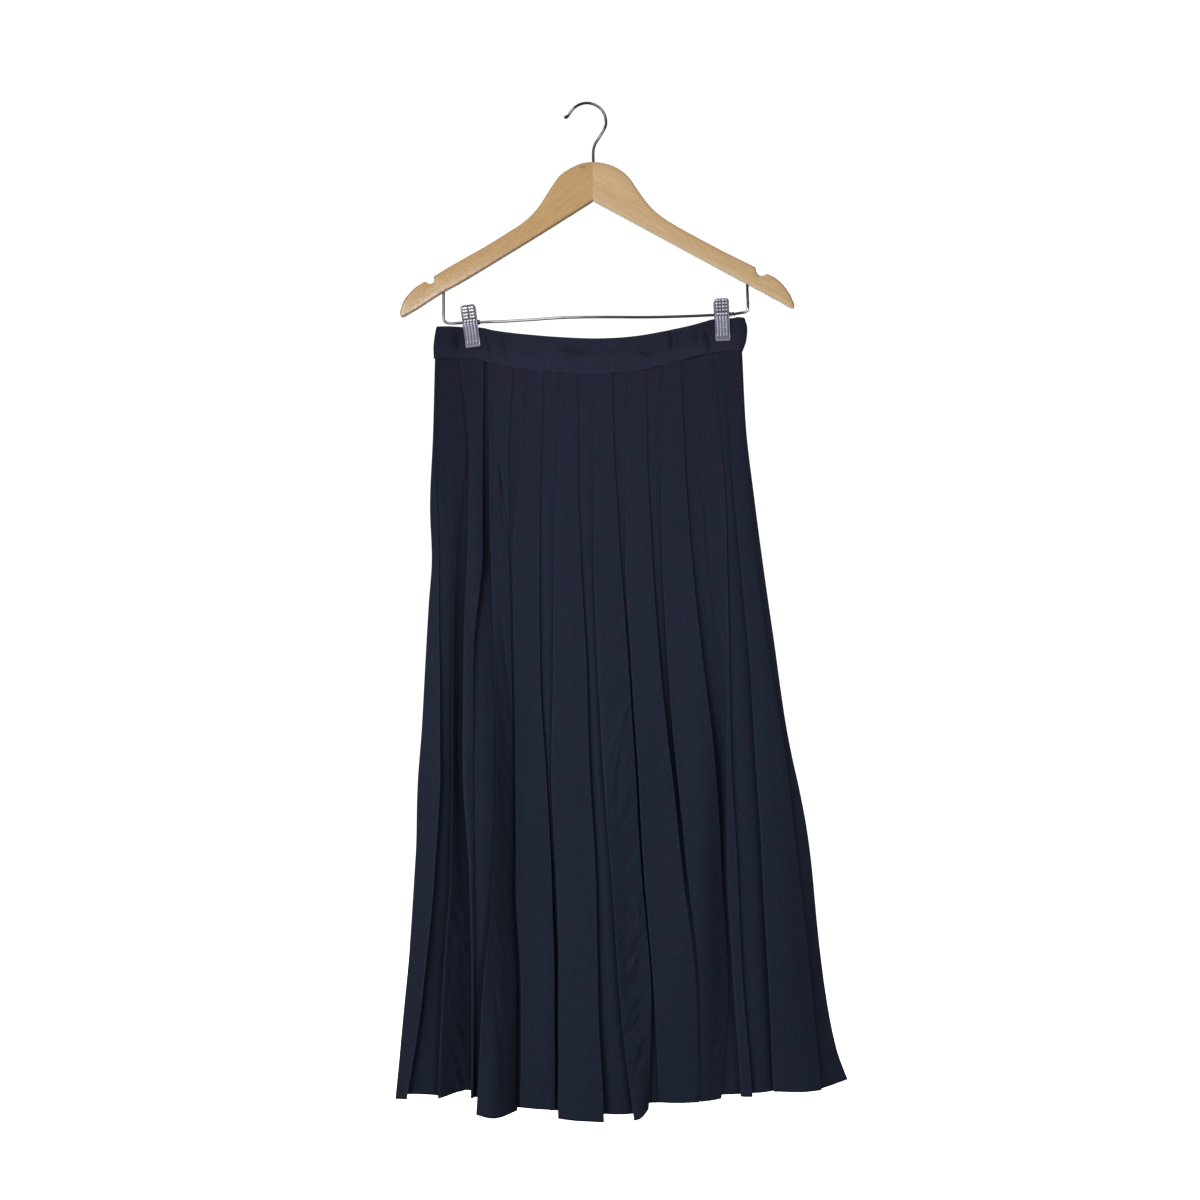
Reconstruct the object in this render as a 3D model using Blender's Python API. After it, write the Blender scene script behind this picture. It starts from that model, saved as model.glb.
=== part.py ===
# A pleated skirt hung by two clips on a wooden hanger.
#
# Metres, +Z up. The origin is the underside of the hook's arc, where a rail
# or a peg carries the hanger. The skirt's front looks along -Y.
#
# The tables below are in drawing units: u runs to the right and v runs down
# on a front elevation whose middle is (600, 600), drawn as an eye 2.2 m away
# sees it. "out" is in millimetres, how far a point stands in front of the
# side seams (or behind them, on the back panel).

import bpy
import bmesh
import math
from mathutils import Vector

# ------------------------------------------------------------ named sizes
UNIT = 0.00112            # metres for one drawing unit
EYE = 2.2                 # eye distance of the elevation
HOOK_U, HOOK_V = 588.0, 104.3   # the hook's seat on the elevation
SEAM_GAP = 0.0003         # between pieces that are sewn or rest together
WAIST_GAP = 0.0006        # at the waist seam, where the band's edge is curved
FOLD_REACH = 1.0          # drawing units a folded wall's corner may reach
CLOTH = 0.0010            # wall of the pleated panels
BAND = 0.0016             # wall of the doubled waistband
ROWS = 16                 # sections down each panel

HOOK_WIRE = 0.0028        # diameters
BAR_WIRE = 0.0026
STEM_DEPTH = 0.022        # how far the hook's stem goes into the wood
BAR_DEPTH = 0.008         # how far the bar's ends go into the wood

WOOD_T = 0.012            # arms, front to back
WOOD_R = 0.0024           # their rounded edges

CLIP_W = 0.0166           # clip plate width
CLIP_L = 0.0478           # clip plate length
CLIP_T = 0.0009           # sheet thickness
CLIP_PIVOT = 0.0205       # from the clip's top down to the bar
SPRING_D = 0.0064         # spring sleeve on the bar
SPRING_L = 0.0136

MM = 0.001


def drawn(u, v, out=0.0):
    """World point of a drawn point that stands out millimetres in front."""
    near = 1.0 - out * MM / EYE
    x = ((u - 600.0) * near + 600.0 - HOOK_U) * UNIT
    z = -((v - 600.0) * near + 600.0 - HOOK_V) * UNIT
    return Vector((x, -out * MM, z))


def curve_at(stops, values, t):
    """Smooth value at t through values given at the stops (no overshoot)."""
    n = len(stops)
    if t <= stops[0]:
        return values[0]
    if t >= stops[-1]:
        return values[-1]
    d = [(values[i + 1] - values[i]) / (stops[i + 1] - stops[i])
         for i in range(n - 1)]
    m = [d[0]] + [0.0 if d[i - 1] * d[i] <= 0 else
                  2.0 * d[i - 1] * d[i] / (d[i - 1] + d[i])
                  for i in range(1, n - 1)] + [d[-1]]
    for i in range(n - 1):
        if t <= stops[i + 1]:
            h = stops[i + 1] - stops[i]
            s = (t - stops[i]) / h
            return (values[i] * (1 + 2 * s) * (1 - s) ** 2
                    + m[i] * h * s * (1 - s) ** 2
                    + values[i + 1] * s * s * (3 - 2 * s)
                    + m[i + 1] * h * s * s * (s - 1))
    return values[-1]


# -------------------------------------------------------------- waistband
# One row for each station along the band: its top and lower edge, and how
# far it stands out at the top, where the clips pinch it, and at the seam.
#        u     v_top  v_low  out_top out_low
WAIST = [
    (437.4, 327.2, 358.6, 2.4, 3.2),
    (441.0, 327.0, 358.4, 3.6, 4.2),
    (448.0, 327.2, 358.4, 3.8, 5.0),
    (455.0, 327.6, 358.5, 2.6, 5.0),
    (461.5, 327.9, 358.6, 1.0, 4.4),
    (471.0, 328.0, 359.2, 1.0, 4.2),
    (481.5, 328.2, 360.6, 1.0, 4.4),
    (492.0, 330.2, 363.0, 2.6, 5.2),
    (508.0, 332.8, 366.6, 4.8, 6.2),
    (528.0, 335.2, 370.0, 6.6, 7.0),
    (550.0, 337.0, 372.0, 8.4, 7.8),
    (572.0, 338.3, 373.4, 9.6, 8.2),
    (593.5, 339.0, 374.0, 10.0, 8.4),
    (615.0, 338.2, 373.0, 9.6, 8.2),
    (637.0, 336.0, 370.6, 8.4, 7.6),
    (656.0, 333.0, 366.8, 7.0, 7.0),
    (672.0, 330.0, 363.0, 5.6, 6.4),
    (690.0, 326.4, 357.7, 3.6, 5.6),
    (704.0, 322.6, 354.6, 2.2, 4.8),
    (713.0, 320.0, 352.9, 1.0, 4.4),
    (722.5, 319.4, 351.6, 1.0, 4.2),
    (732.5, 318.8, 350.9, 1.0, 4.2),
    (738.0, 317.8, 350.8, 2.0, 4.0),
    (743.0, 318.0, 351.2, 2.4, 3.2),
]
# The band's two ends, from its top edge to its lower edge.
BAND_DROP = (0.0, 0.34, 0.68, 1.0)
END_LEFT_U = (437.2, 435.2, 434.2, 434.6)
END_RIGHT_U = (743.8, 746.6, 745.6, 742.0)
CLAMPED = (0.0, 0.0, 0.05, 1.0)       # how much of out_low each row takes


def waist_at(u, column):
    us = [row[0] for row in WAIST]
    return curve_at(us, [row[column] for row in WAIST], u)


# ------------------------------------------------------------ front panel
# One row for each fold of the front panel, left to right. kind: R, a pleat
# edge that faces right, with the cloth tucked back under it; L, the same
# facing left; S, a soft fold. Columns give the fold's u at eight stations
# down the panel, how far it stands out at four of them, how deep the tuck
# under it goes and how far it reaches under, and the hem's v at the edge and
# in the tuck.
U_STOPS = (0.0, 0.12, 0.25, 0.40, 0.55, 0.70, 0.85, 1.0)
OUT_STOPS = (0.0, 0.25, 0.55, 0.80, 1.0)
FRONT = [
    # name      kind  waist  u.12   u.25   u.40   u.55   u.70   u.85   hem     hip mid calf hem   deep reach  v_hem   v_tuck
    ("side_l",   "R", 437.6, 435.6, 438.2, 441.5, 440.5, 435.0, 424.0, 407.0,   8, 16, 22, 27,    0.8, 0.15, 1100.0, 1094.5),
    ("ridge_l",  "L", 444.0, 446.5, 450.5, 453.5, 452.5, 450.0, 443.0, 437.3,  10, 20, 28, 36,    0.6, 0.00, 1098.8, 1095.4),
    ("valley_l", "S", 452.5, 458.5, 458.8, 457.6, 458.2, 463.0, 466.0, 464.5,   5,  7,  9, 10,    0.0, 0.00, 1089.5, 1089.5),
    ("face_a",   "S", 458.5, 467.5, 464.5, 461.2, 460.8, 467.6, 471.0, 470.3,  14, 25, 25, 24,    0.0, 0.00, 1097.5, 1097.5),
    ("edge_a",   "R", 485.0, 484.4, 485.8, 474.6, 473.6, 474.6, 475.8, 474.4,  14, 23, 22, 23,    0.5, 1.00, 1098.0, 1097.0),
    ("crest",    "S", 487.4, 486.9, 487.6, 481.0, 481.5, 481.0, 484.0, 480.0,   8, 23, 25, 15,    0.0, 0.00, 1097.0, 1097.0),
    ("face_b",   "L", 488.6, 489.0, 490.2, 493.8, 496.0, 492.0, 482.3, 476.0,  13, 31, 40, 46,    1.0, 1.00, 1115.0, 1098.0),
    ("lobe_b",   "S", 498.0, 500.5, 505.0, 503.5, 505.0, 503.0, 497.0, 495.0,  12, 22, 33, 47,    0.0, 0.00, 1119.6, 1119.6),
    ("edge_b",   "R", 513.4, 509.3, 509.5, 512.5, 514.0, 514.5, 519.0, 517.8,  12, 16, 19, 29,    0.95, 1.00, 1110.5, 1107.6),
    ("face_c",   "L", 526.0, 520.0, 511.6, 514.2, 515.5, 516.0, 520.5, 519.6,  10, 19, 23, 27,    0.8, 1.00, 1107.6, 1107.6),
    ("edge_c",   "R", 544.2, 542.0, 540.3, 541.0, 547.0, 552.6, 555.4, 555.8,  11, 22, 27, 31,    1.0, 1.00, 1110.5, 1110.5),
    ("face_d",   "L", 557.5, 556.3, 553.6, 552.3, 550.8, 554.6, 557.2, 557.6,  12, 25, 33, 41,    1.0, 1.00, 1119.0, 1110.5),
    ("edge_d",   "R", 578.3, 578.8, 581.0, 587.3, 591.0, 597.0, 599.5, 605.0,  13, 28, 37, 47,    1.0, 1.00, 1122.6, 1114.0),
    ("face_e",   "L", 593.0, 593.0, 593.3, 597.2, 603.5, 612.0, 620.0, 633.5,  12, 26, 35, 45,    1.0, 1.00, 1120.6, 1113.5),
    ("fall_e",   "S", 603.0, 605.0, 608.0, 612.5, 619.0, 626.0, 634.0, 642.0,  12, 24, 28, 43,    0.0, 0.00, 1118.0, 1118.0),
    ("edge_e",   "R", 613.0, 615.2, 621.0, 628.8, 636.2, 643.0, 651.2, 649.0,  12, 24, 29, 33,    1.0, 1.00, 1108.0, 1103.0),
    ("face_f",   "L", 625.3, 624.8, 624.4, 630.4, 637.6, 644.5, 652.9, 658.0,  11, 22, 25, 23,    0.7, 1.00, 1102.8, 1102.8),
    ("edge_f",   "R", 646.8, 648.0, 652.5, 660.5, 672.0, 684.5, 697.3, 699.4,  13, 26, 30, 27,    0.9, 1.00, 1102.4, 1101.6),
    ("face_g",   "L", 660.2, 660.0, 661.3, 667.0, 673.6, 686.2, 699.2, 701.4,  11, 22, 26, 25,    0.9, 1.00, 1101.6, 1101.6),
    ("edge_g",   "R", 681.5, 685.0, 692.0, 703.7, 717.3, 722.6, 728.8, 722.0,  13, 28, 26, 27,    1.0, 1.00, 1098.5, 1095.0),
    ("recess_g", "S", 693.7, 700.7, 706.5, 715.5, 720.5, 724.6, 731.6, 730.5,   8, 15, 15, 16,    0.0, 0.00, 1094.6, 1094.6),
    ("ridge_h",  "L", 706.0, 715.0, 722.6, 726.6, 727.1, 726.4, 733.1, 740.2,  11, 26, 31, 33,    0.8, 0.00, 1096.4, 1093.7),
    ("edge_h",   "R", 712.0, 721.5, 728.0, 731.0, 733.2, 738.3, 743.7, 753.0,  12, 26, 31, 34,    0.8, 0.10, 1096.5, 1092.8),
    ("face_i",   "L", 725.3, 729.2, 737.2, 748.0, 755.5, 762.0, 767.5, 773.0,  10, 20, 24, 27,    0.7, 1.00, 1091.6, 1090.4),
    ("swell_i",  "S", 734.0, 741.0, 751.0, 765.0, 778.0, 787.0, 795.0, 797.0,   9, 18, 23, 29,    0.0, 0.00, 1092.6, 1092.6),
    ("side_r",   "S", 739.5, 749.5, 758.0, 772.3, 788.5, 801.0, 812.5, 821.7,   6, 12, 17, 22,    0.0, 0.00, 1088.6, 1088.6),
]
# The side seams, shared by the front and the back panel.
#            waist  u.12   u.25   u.40   u.55   u.70   u.85   hem
SEAM_LEFT = (434.9, 432.6, 432.0, 426.0, 421.0, 414.5, 406.0, 395.5)
SEAM_RIGHT = (742.2, 753.0, 761.8, 776.8, 795.6, 812.7, 827.0, 847.3)
SEAM_LEFT_V, SEAM_RIGHT_V = 1098.0, 1077.0

# How far the tuck under a pleat edge lies behind it, and how far it runs
# under it, down the panel (millimetres, drawing units).
TUCK_OUT = (2.4, 4.2, 8.0, 11.0, 13.0)
TUCK_U = (3.4, 3.4, 4.2, 5.0, 5.6)

# ------------------------------------------------------------- back panel
# One row for each box pleat of the back panel, left to right as seen from
# the front: where its two edges lie at the waist, halfway and at the hem,
# how far it swells, and the hem's v on the pleat and beside it.
BACK = [
    # name   left_w right_w left_m right_m left_h right_h  swell  v_hem   v_side
    ("back_1", 446.0, 465.0, 440.0, 464.0, 416.0, 452.0,   0.80, 1100.0, 1095.0),
    ("back_2", 479.0, 499.0, 476.0, 506.0, 458.0, 498.0,   1.06, 1108.0, 1101.0),
    ("back_3", 512.5, 533.0, 515.0, 544.0, 506.0, 545.0,   0.90, 1110.0, 1105.0),
    ("back_4", 546.0, 567.0, 554.0, 584.0, 556.0, 594.0,   1.10, 1117.0, 1109.0),
    ("back_5", 580.0, 600.0, 592.0, 622.0, 603.0, 644.0,   0.94, 1114.0, 1107.0),
    ("back_6", 613.5, 634.0, 633.0, 662.0, 657.0, 690.0,   1.08, 1111.0, 1104.0),
    ("back_7", 647.0, 667.5, 671.0, 702.0, 700.0, 741.0,   0.92, 1104.0, 1099.0),
    ("back_8", 680.5, 700.0, 711.0, 739.0, 751.0, 786.0,   1.02, 1098.0, 1092.0),
    ("back_9", 713.0, 730.0, 749.0, 775.0, 794.0, 828.0,   0.72, 1090.0, 1085.0),
]
BACK_OUT = (0.0, 13.0, 25.0, 34.0, 42.0)     # a pleat's face, swell 1
BACK_IN = (0.0, 9.0, 16.0, 20.0, 23.0)       # between the pleats


# ---------------------------------------------------------------- helpers
def wipe():
    for ob in list(bpy.data.objects):
        bpy.data.objects.remove(ob, do_unlink=True)


def finish_material(name, rgb, rough, metal=0.0):
    mat = bpy.data.materials.new(name)
    mat.use_nodes = True
    bsdf = mat.node_tree.nodes["Principled BSDF"]
    bsdf.inputs["Base Color"].default_value = (*rgb, 1.0)
    bsdf.inputs["Roughness"].default_value = rough
    bsdf.inputs["Metallic"].default_value = metal
    mat.diffuse_color = (*rgb, 1.0)
    return mat


def put(name, mesh, mat, smooth=None):
    mesh.materials.append(mat)
    ob = bpy.data.objects.new(name, mesh)
    bpy.context.scene.collection.objects.link(ob)
    if smooth is not None:
        mesh.shade_smooth()
        mesh.set_sharp_from_angle(angle=math.radians(smooth))
    return ob


def wall_offsets(path, half):
    """The two sides of a wall of thickness 2*half along a plan path."""
    left, right = [], []
    n = len(path)
    for i, p in enumerate(path):
        a = (path[i] - path[i - 1]).normalized() if i else None
        b = (path[i + 1] - path[i]).normalized() if i < n - 1 else None
        if a is None:
            a = b
        if b is None:
            b = a
        na, nb = Vector((-a.y, a.x)), Vector((-b.y, b.x))
        m = na + nb
        if m.length < 1e-6:
            m = na
        m.normalize()
        reach = half / max(m.dot(na), 0.26)
        left.append(p + m * reach)
        right.append(p - m * reach)
    return left, right


def wall_mesh(name, rows, thickness):
    """A closed wall through rows of points: rows[i][j] is a Vector."""
    bm = bmesh.new()
    sides = ([], [])
    for row in rows:
        plan = [Vector((p.x, p.y)) for p in row]
        left, right = wall_offsets(plan, thickness / 2)
        for side, line in zip(sides, (left, right)):
            side.append([bm.verts.new((q.x, q.y, p.z))
                         for q, p in zip(line, row)])
    bm.verts.ensure_lookup_table()
    nr, nc = len(rows), len(rows[0])

    def quad(a, b, c, d):
        bm.faces.new((a, b, c))
        bm.faces.new((a, c, d))

    for k, grid in enumerate(sides):
        for i in range(nr - 1):
            for j in range(nc - 1):
                a, b = grid[i][j], grid[i][j + 1]
                c, d = grid[i + 1][j + 1], grid[i + 1][j]
                if k == 0:
                    quad(a, b, c, d)
                else:
                    bm.faces.new((a, c, b))
                    bm.faces.new((a, d, c))
    A, B = sides
    for j in range(nc - 1):
        quad(A[0][j + 1], A[0][j], B[0][j], B[0][j + 1])
        quad(A[-1][j], A[-1][j + 1], B[-1][j + 1], B[-1][j])
    for i in range(nr - 1):
        quad(A[i][0], A[i + 1][0], B[i + 1][0], B[i][0])
        quad(A[i + 1][-1], A[i][-1], B[i][-1], B[i + 1][-1])
    bmesh.ops.recalc_face_normals(bm, faces=bm.faces)
    if bm.calc_volume(signed=True) < 0:
        bmesh.ops.reverse_faces(bm, faces=bm.faces)
    mesh = bpy.data.meshes.new(name)
    bm.to_mesh(mesh)
    bm.free()
    return mesh


def flip(row):
    return [Vector((p.x, -p.y, p.z)) for p in row]


# ---------------------------------------------------------- cloth sections
def panel_stops():
    """Stations down a panel, closer together near the waist and the hem."""
    out = []
    for i in range(ROWS + 1):
        s = i / ROWS
        out.append(s + 0.035 * math.sin(2 * math.pi * s) * -1.0)
    return out


def waist_seam(u):
    """Height of the panels' top edge, just under the band at u."""
    x = drawn(u, 600.0).x
    reach = FOLD_REACH * UNIT
    line = [drawn(row[0], row[2], row[4]) for row in WAIST]
    low = min(p.z for p in line if abs(p.x - x) < reach) if any(
        abs(p.x - x) < reach for p in line) else 0.0
    for at in (x - reach, x, x + reach):
        at = min(max(at, line[0].x), line[-1].x)
        for p, q in zip(line, line[1:]):
            if p.x <= at <= q.x:
                low = min(low, p.z + (q.z - p.z) * (at - p.x) / (q.x - p.x))
    return low - WAIST_GAP


def hang(u_top, v_hem, out_hem, t):
    """Height at the fraction t between the band and the hem."""
    top = waist_seam(u_top)
    return top + (drawn(u_top, v_hem, out_hem).z - top) * t


def seam_rows(side, t):
    """A panel's first two points, on the seam and just off it."""
    us, v_hem = ((SEAM_LEFT, SEAM_LEFT_V) if side < 0
                 else (SEAM_RIGHT, SEAM_RIGHT_V))
    u = curve_at(U_STOPS, us, t)
    turn = curve_at(OUT_STOPS, (1.9, 2.6, 3.6, 4.4, 5.0), t)
    on = drawn(u, 600.0)
    on.z = hang(us[0], v_hem, 0.0, t)
    on.y = -SEAM_GAP / 2
    off = on.copy()
    off.y = -turn * MM
    return on, off


def front_section(t):
    """The front panel's section at the fraction t of its length."""
    pts = []
    on, off = seam_rows(-1, t)
    pts += [on, off]
    for row in FRONT:
        name, kind = row[0], row[1]
        u = curve_at(U_STOPS, row[2:10], t)
        lift = -1.6 if name in ("recess_g", "crest") else 0.6
        outs = (waist_at(row[2], 4) + lift,) + tuple(row[10:14])
        out = curve_at(OUT_STOPS, outs, t)
        deep, reach, v_hem, v_tuck = row[14:18]
        edge = drawn(u, 600.0, out)
        edge.z = hang(row[2], v_hem, outs[-1], t)
        if kind == "S":
            pts.append(edge)
            continue
        step = curve_at(OUT_STOPS, TUCK_OUT, t)
        step *= 1.0 + (deep - 1.0) * min(1.0, t / 0.2)
        run = curve_at(OUT_STOPS, TUCK_U, t) * reach
        sign = -1.0 if kind == "R" else 1.0
        tuck = drawn(u + sign * run, 600.0, out - step)
        tuck.z = hang(row[2] + sign * TUCK_U[0] * reach, v_tuck,
                      outs[-1] - TUCK_OUT[-1] * deep, t)
        pts += [edge, tuck] if kind == "R" else [tuck, edge]
    on, off = seam_rows(1, t)
    pts += [off, on]
    return pts


def back_section(t):
    """The back panel's section, drawn as if it faced the front."""
    on, off = seam_rows(-1, t)
    pts = [on, off]
    for row in BACK:
        lw, rw, lm, rm, lh, rh, swell, v_hem, v_side = row[1:]
        face = curve_at(OUT_STOPS, BACK_OUT, t) * (1 + (swell - 1) * t)
        inner = curve_at(OUT_STOPS, BACK_IN, t) * (1 + (swell - 1) * t * 0.6)
        near = max(0.0, 1.0 - t / 0.25)
        for which, us, sign in (("L", (lw, lm, lh), 1.0),
                                ("R", (rw, rm, rh), -1.0)):
            u = curve_at((0.0, 0.5, 1.0), us, t)
            low = waist_at(us[0], 4)
            run = curve_at(OUT_STOPS, TUCK_U, t) * 0.8
            edge = drawn(u, 600.0, face + (low + 0.6) * near)
            edge.z = hang(us[0], v_hem, BACK_OUT[-1] * swell, t)
            tuck = drawn(u + sign * run, 600.0, inner + (low - 1.8) * near)
            tuck.z = hang(us[0] + sign * TUCK_U[0] * 0.8, v_side,
                          BACK_IN[-1] * swell, t)
            pts += [tuck, edge] if which == "L" else [edge, tuck]
    on, off = seam_rows(1, t)
    pts += [off, on]
    return pts


def band_section(k):
    """The front waistband's section at row k, top to bottom."""
    drop, low = BAND_DROP[k], CLAMPED[k]
    pts = []

    def end(u, v_top, v_low, out):
        on = drawn(u, v_top + (v_low - v_top) * drop)
        on.y = -SEAM_GAP / 2
        off = on.copy()
        off.y = -out * MM
        return on, off

    first, last = WAIST[0], WAIST[-1]
    on, off = end(END_LEFT_U[k], first[1], first[2], 1.9)
    pts += [on, off]
    for row in WAIST[1:-1]:
        u, v_top, v_low, out_top, out_low = row
        pts.append(drawn(u, v_top + (v_low - v_top) * drop,
                         out_top + (out_low - out_top) * low))
    on, off = end(END_RIGHT_U[k], last[1], last[2], 1.9)
    pts += [off, on]
    return pts


# ---------------------------------------------------------------- hanger
# The left arm's outline and the right arm's, from the mitre over the head,
# along the top to the notch, round the tip and back along the underside.
ARM_LEFT = [
    # place      u      v
    ("mitre",  592.40, 162.7), ("head", 582.1, 164.1), ("head", 573.7, 167.5),
    ("head",   566.7, 171.5), ("head", 560.4, 176.2), ("head", 555.4, 182.4),
    ("head",   550.5, 189.4), ("neck", 545.6, 197.1), ("neck", 540.0, 206.0),
    ("neck",   534.0, 213.2), ("neck", 527.5, 219.0), ("top", 519.5, 224.2),
    ("top",    433.8, 277.6), ("notch", 434.9, 280.9), ("notch", 433.4, 283.8),
    ("notch",  430.3, 284.7), ("notch", 427.6, 283.9), ("notch", 425.9, 282.6),
    ("tip",    420.5, 285.2), ("tip", 414.4, 289.5), ("tip", 409.3, 295.1),
    ("tip",    404.7, 301.7), ("tip", 401.6, 308.4), ("tip", 400.2, 314.0),
    ("tip",    401.1, 317.4), ("tip", 403.4, 318.0), ("under", 407.4, 316.6),
    ("mitre",  592.40, 201.5),
]
ARM_RIGHT = [
    ("mitre",  592.72, 162.7), ("head", 599.8, 163.7), ("head", 608.2, 165.4),
    ("head",   616.5, 168.8), ("head", 624.2, 173.9), ("head", 629.9, 179.9),
    ("neck",   636.1, 188.7), ("neck", 643.2, 198.4), ("neck", 650.0, 207.0),
    ("neck",   655.6, 213.4), ("neck", 663.2, 220.2), ("top", 672.0, 225.6),
    ("top",    756.2, 268.9), ("notch", 756.0, 272.2), ("notch", 757.9, 275.2),
    ("notch",  760.7, 276.7), ("notch", 763.5, 276.0), ("notch", 766.2, 274.1),
    ("tip",    771.5, 276.2), ("tip", 778.5, 281.0), ("tip", 785.0, 287.5),
    ("tip",    790.0, 295.1), ("tip", 793.2, 302.2), ("tip", 794.3, 306.4),
    ("tip",    793.4, 308.8), ("tip", 790.8, 308.4), ("under", 785.0, 305.2),
    ("mitre",  592.72, 201.5),
]
# The hook's centre line, from its stem in the wood to its tip.
HOOK = [
    ("stem", 593.3, 163.0), ("stem", 593.2, 154.0), ("bend", 593.7, 148.5),
    ("bend", 595.6, 143.2), ("rise", 599.6, 137.0), ("rise", 603.2, 131.2),
    ("arc",  605.5, 126.2), ("arc", 606.0, 121.4), ("arc", 604.6, 114.8),
    ("arc",  600.8, 108.9), ("arc", 595.0, 104.8), ("seat", 588.0, 103.05),
    ("arc",  581.2, 103.9), ("arc", 575.4, 106.9), ("fall", 571.4, 111.0),
    ("fall", 568.8, 114.8), ("tip", 566.8, 116.8), ("tip", 564.0, 117.5),
]
# The bar's centre line, from its left end in the wood to its right one.
BAR = [
    ("post",  443.6, 293.8), ("post", 443.6, 306.0), ("post", 443.6, 317.0),
    ("bend",  444.5, 320.8), ("bend", 447.4, 322.6), ("run", 452.5, 323.1),
    ("run",   462.0, 323.2), ("run", 471.0, 323.1), ("run", 481.0, 322.8),
    ("run",   500.0, 321.6), ("run", 535.0, 318.8), ("run", 571.0, 317.3),
    ("run",   640.0, 316.9), ("run", 690.0, 316.4), ("run", 713.0, 315.8),
    ("run",   722.5, 315.5), ("run", 732.0, 315.0), ("run", 741.0, 313.4),
    ("bend",  745.6, 312.2), ("bend", 747.6, 309.6), ("post", 748.0, 305.5),
    ("post",  747.7, 296.0), ("post", 747.4, 286.4),
]
# Each clip: the drawing point at its top, the one at its foot.
CLIPS = [
    # name         top_u  top_v  foot_u foot_v
    ("clip_left",  468.2, 305.2, 473.6, 347.4),
    ("clip_right", 721.6, 298.5, 723.6, 341.1),
]


def outline_prism(name, outline, thickness, mat, rounding):
    """An upright outline, extruded front to back and rounded."""
    bm = bmesh.new()
    vs = []
    for _place, u, v in outline:
        p = drawn(u, v)
        vs.append(bm.verts.new((p.x, -thickness / 2, p.z)))
    face = bm.faces.new(vs)
    ext = bmesh.ops.extrude_face_region(bm, geom=[face])
    bmesh.ops.translate(
        bm, vec=(0, thickness, 0),
        verts=[g for g in ext["geom"] if isinstance(g, bmesh.types.BMVert)])
    bmesh.ops.recalc_face_normals(bm, faces=bm.faces)
    rims = [e for e in bm.edges
            if abs(e.verts[0].co.y - e.verts[1].co.y) < 1e-6
            and not all(abs(v.co.x - vs[0].co.x) < 1e-4 for v in e.verts)]
    bmesh.ops.bevel(bm, geom=rims, offset=rounding, segments=3,
                    profile=0.5, affect="EDGES", clamp_overlap=True)
    bmesh.ops.recalc_face_normals(bm, faces=bm.faces)
    mesh = bpy.data.meshes.new(name)
    bm.to_mesh(mesh)
    bm.free()
    return put(name, mesh, mat, smooth=40)


def smooth_line(points, step):
    """Points along a smooth curve through the given ones (Catmull-Rom)."""
    ps = [points[0] * 2 - points[1]] + points + [points[-1] * 2 - points[-2]]
    line = []
    for i in range(1, len(ps) - 2):
        a, b, c, d = ps[i - 1:i + 3]
        n = max(1, round((c - b).length / step))
        for k in range(n):
            s = k / n
            line.append(0.5 * ((2 * b) + (c - a) * s
                               + (2 * a - 5 * b + 4 * c - d) * s * s
                               + (3 * b - a - 3 * c + d) * s ** 3))
    line.append(points[-1])
    return line


def wire(name, line, diameter, mat, sides=2):
    data = bpy.data.curves.new(name, "CURVE")
    data.dimensions = "3D"
    data.bevel_depth = diameter / 2
    data.bevel_resolution = sides
    data.use_fill_caps = True
    sp = data.splines.new("POLY")
    sp.points.add(len(line) - 1)
    for p, q in zip(sp.points, line):
        p.co = (*q, 1.0)
    data.materials.append(mat)
    ob = bpy.data.objects.new(name, data)
    bpy.context.scene.collection.objects.link(ob)
    return ob


def drill(target, name, start, end, diameter, sides=12):
    """Cut a round socket for a wire's end into the target."""
    axis = end - start
    bm = bmesh.new()
    bmesh.ops.create_cone(bm, cap_ends=True, segments=sides,
                          radius1=diameter / 2, radius2=diameter / 2,
                          depth=axis.length)
    mesh = bpy.data.meshes.new(name)
    bm.to_mesh(mesh)
    bm.free()
    cutter = bpy.data.objects.new(name, mesh)
    bpy.context.scene.collection.objects.link(cutter)
    cutter.location = (start + end) / 2
    cutter.rotation_mode = "QUATERNION"
    cutter.rotation_quaternion = axis.to_track_quat("Z", "Y")
    cutter.hide_render = True
    cutter.display_type = "WIRE"
    mod = target.modifiers.new("socket", "BOOLEAN")
    mod.operation = "DIFFERENCE"
    mod.solver = "EXACT"
    mod.object = cutter


# The clip plate's side view, from its finger end to its jaw: how far down,
# and how far its middle stands out from the bar's plane.
PLATE = [
    # place     down     out
    ("lip",    0.0000, 0.0072),
    ("finger", 0.0040, 0.0072),
    ("finger", 0.0120, 0.0064),
    ("pivot",  0.0180, 0.0052),
    ("pivot",  0.0235, 0.0048),
    ("jaw",    0.0330, 0.0036),
    ("jaw",    0.0400, 0.0027),
    ("foot",   0.0445, 0.0026),
    ("foot",   0.0478, 0.0034),
]


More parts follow.
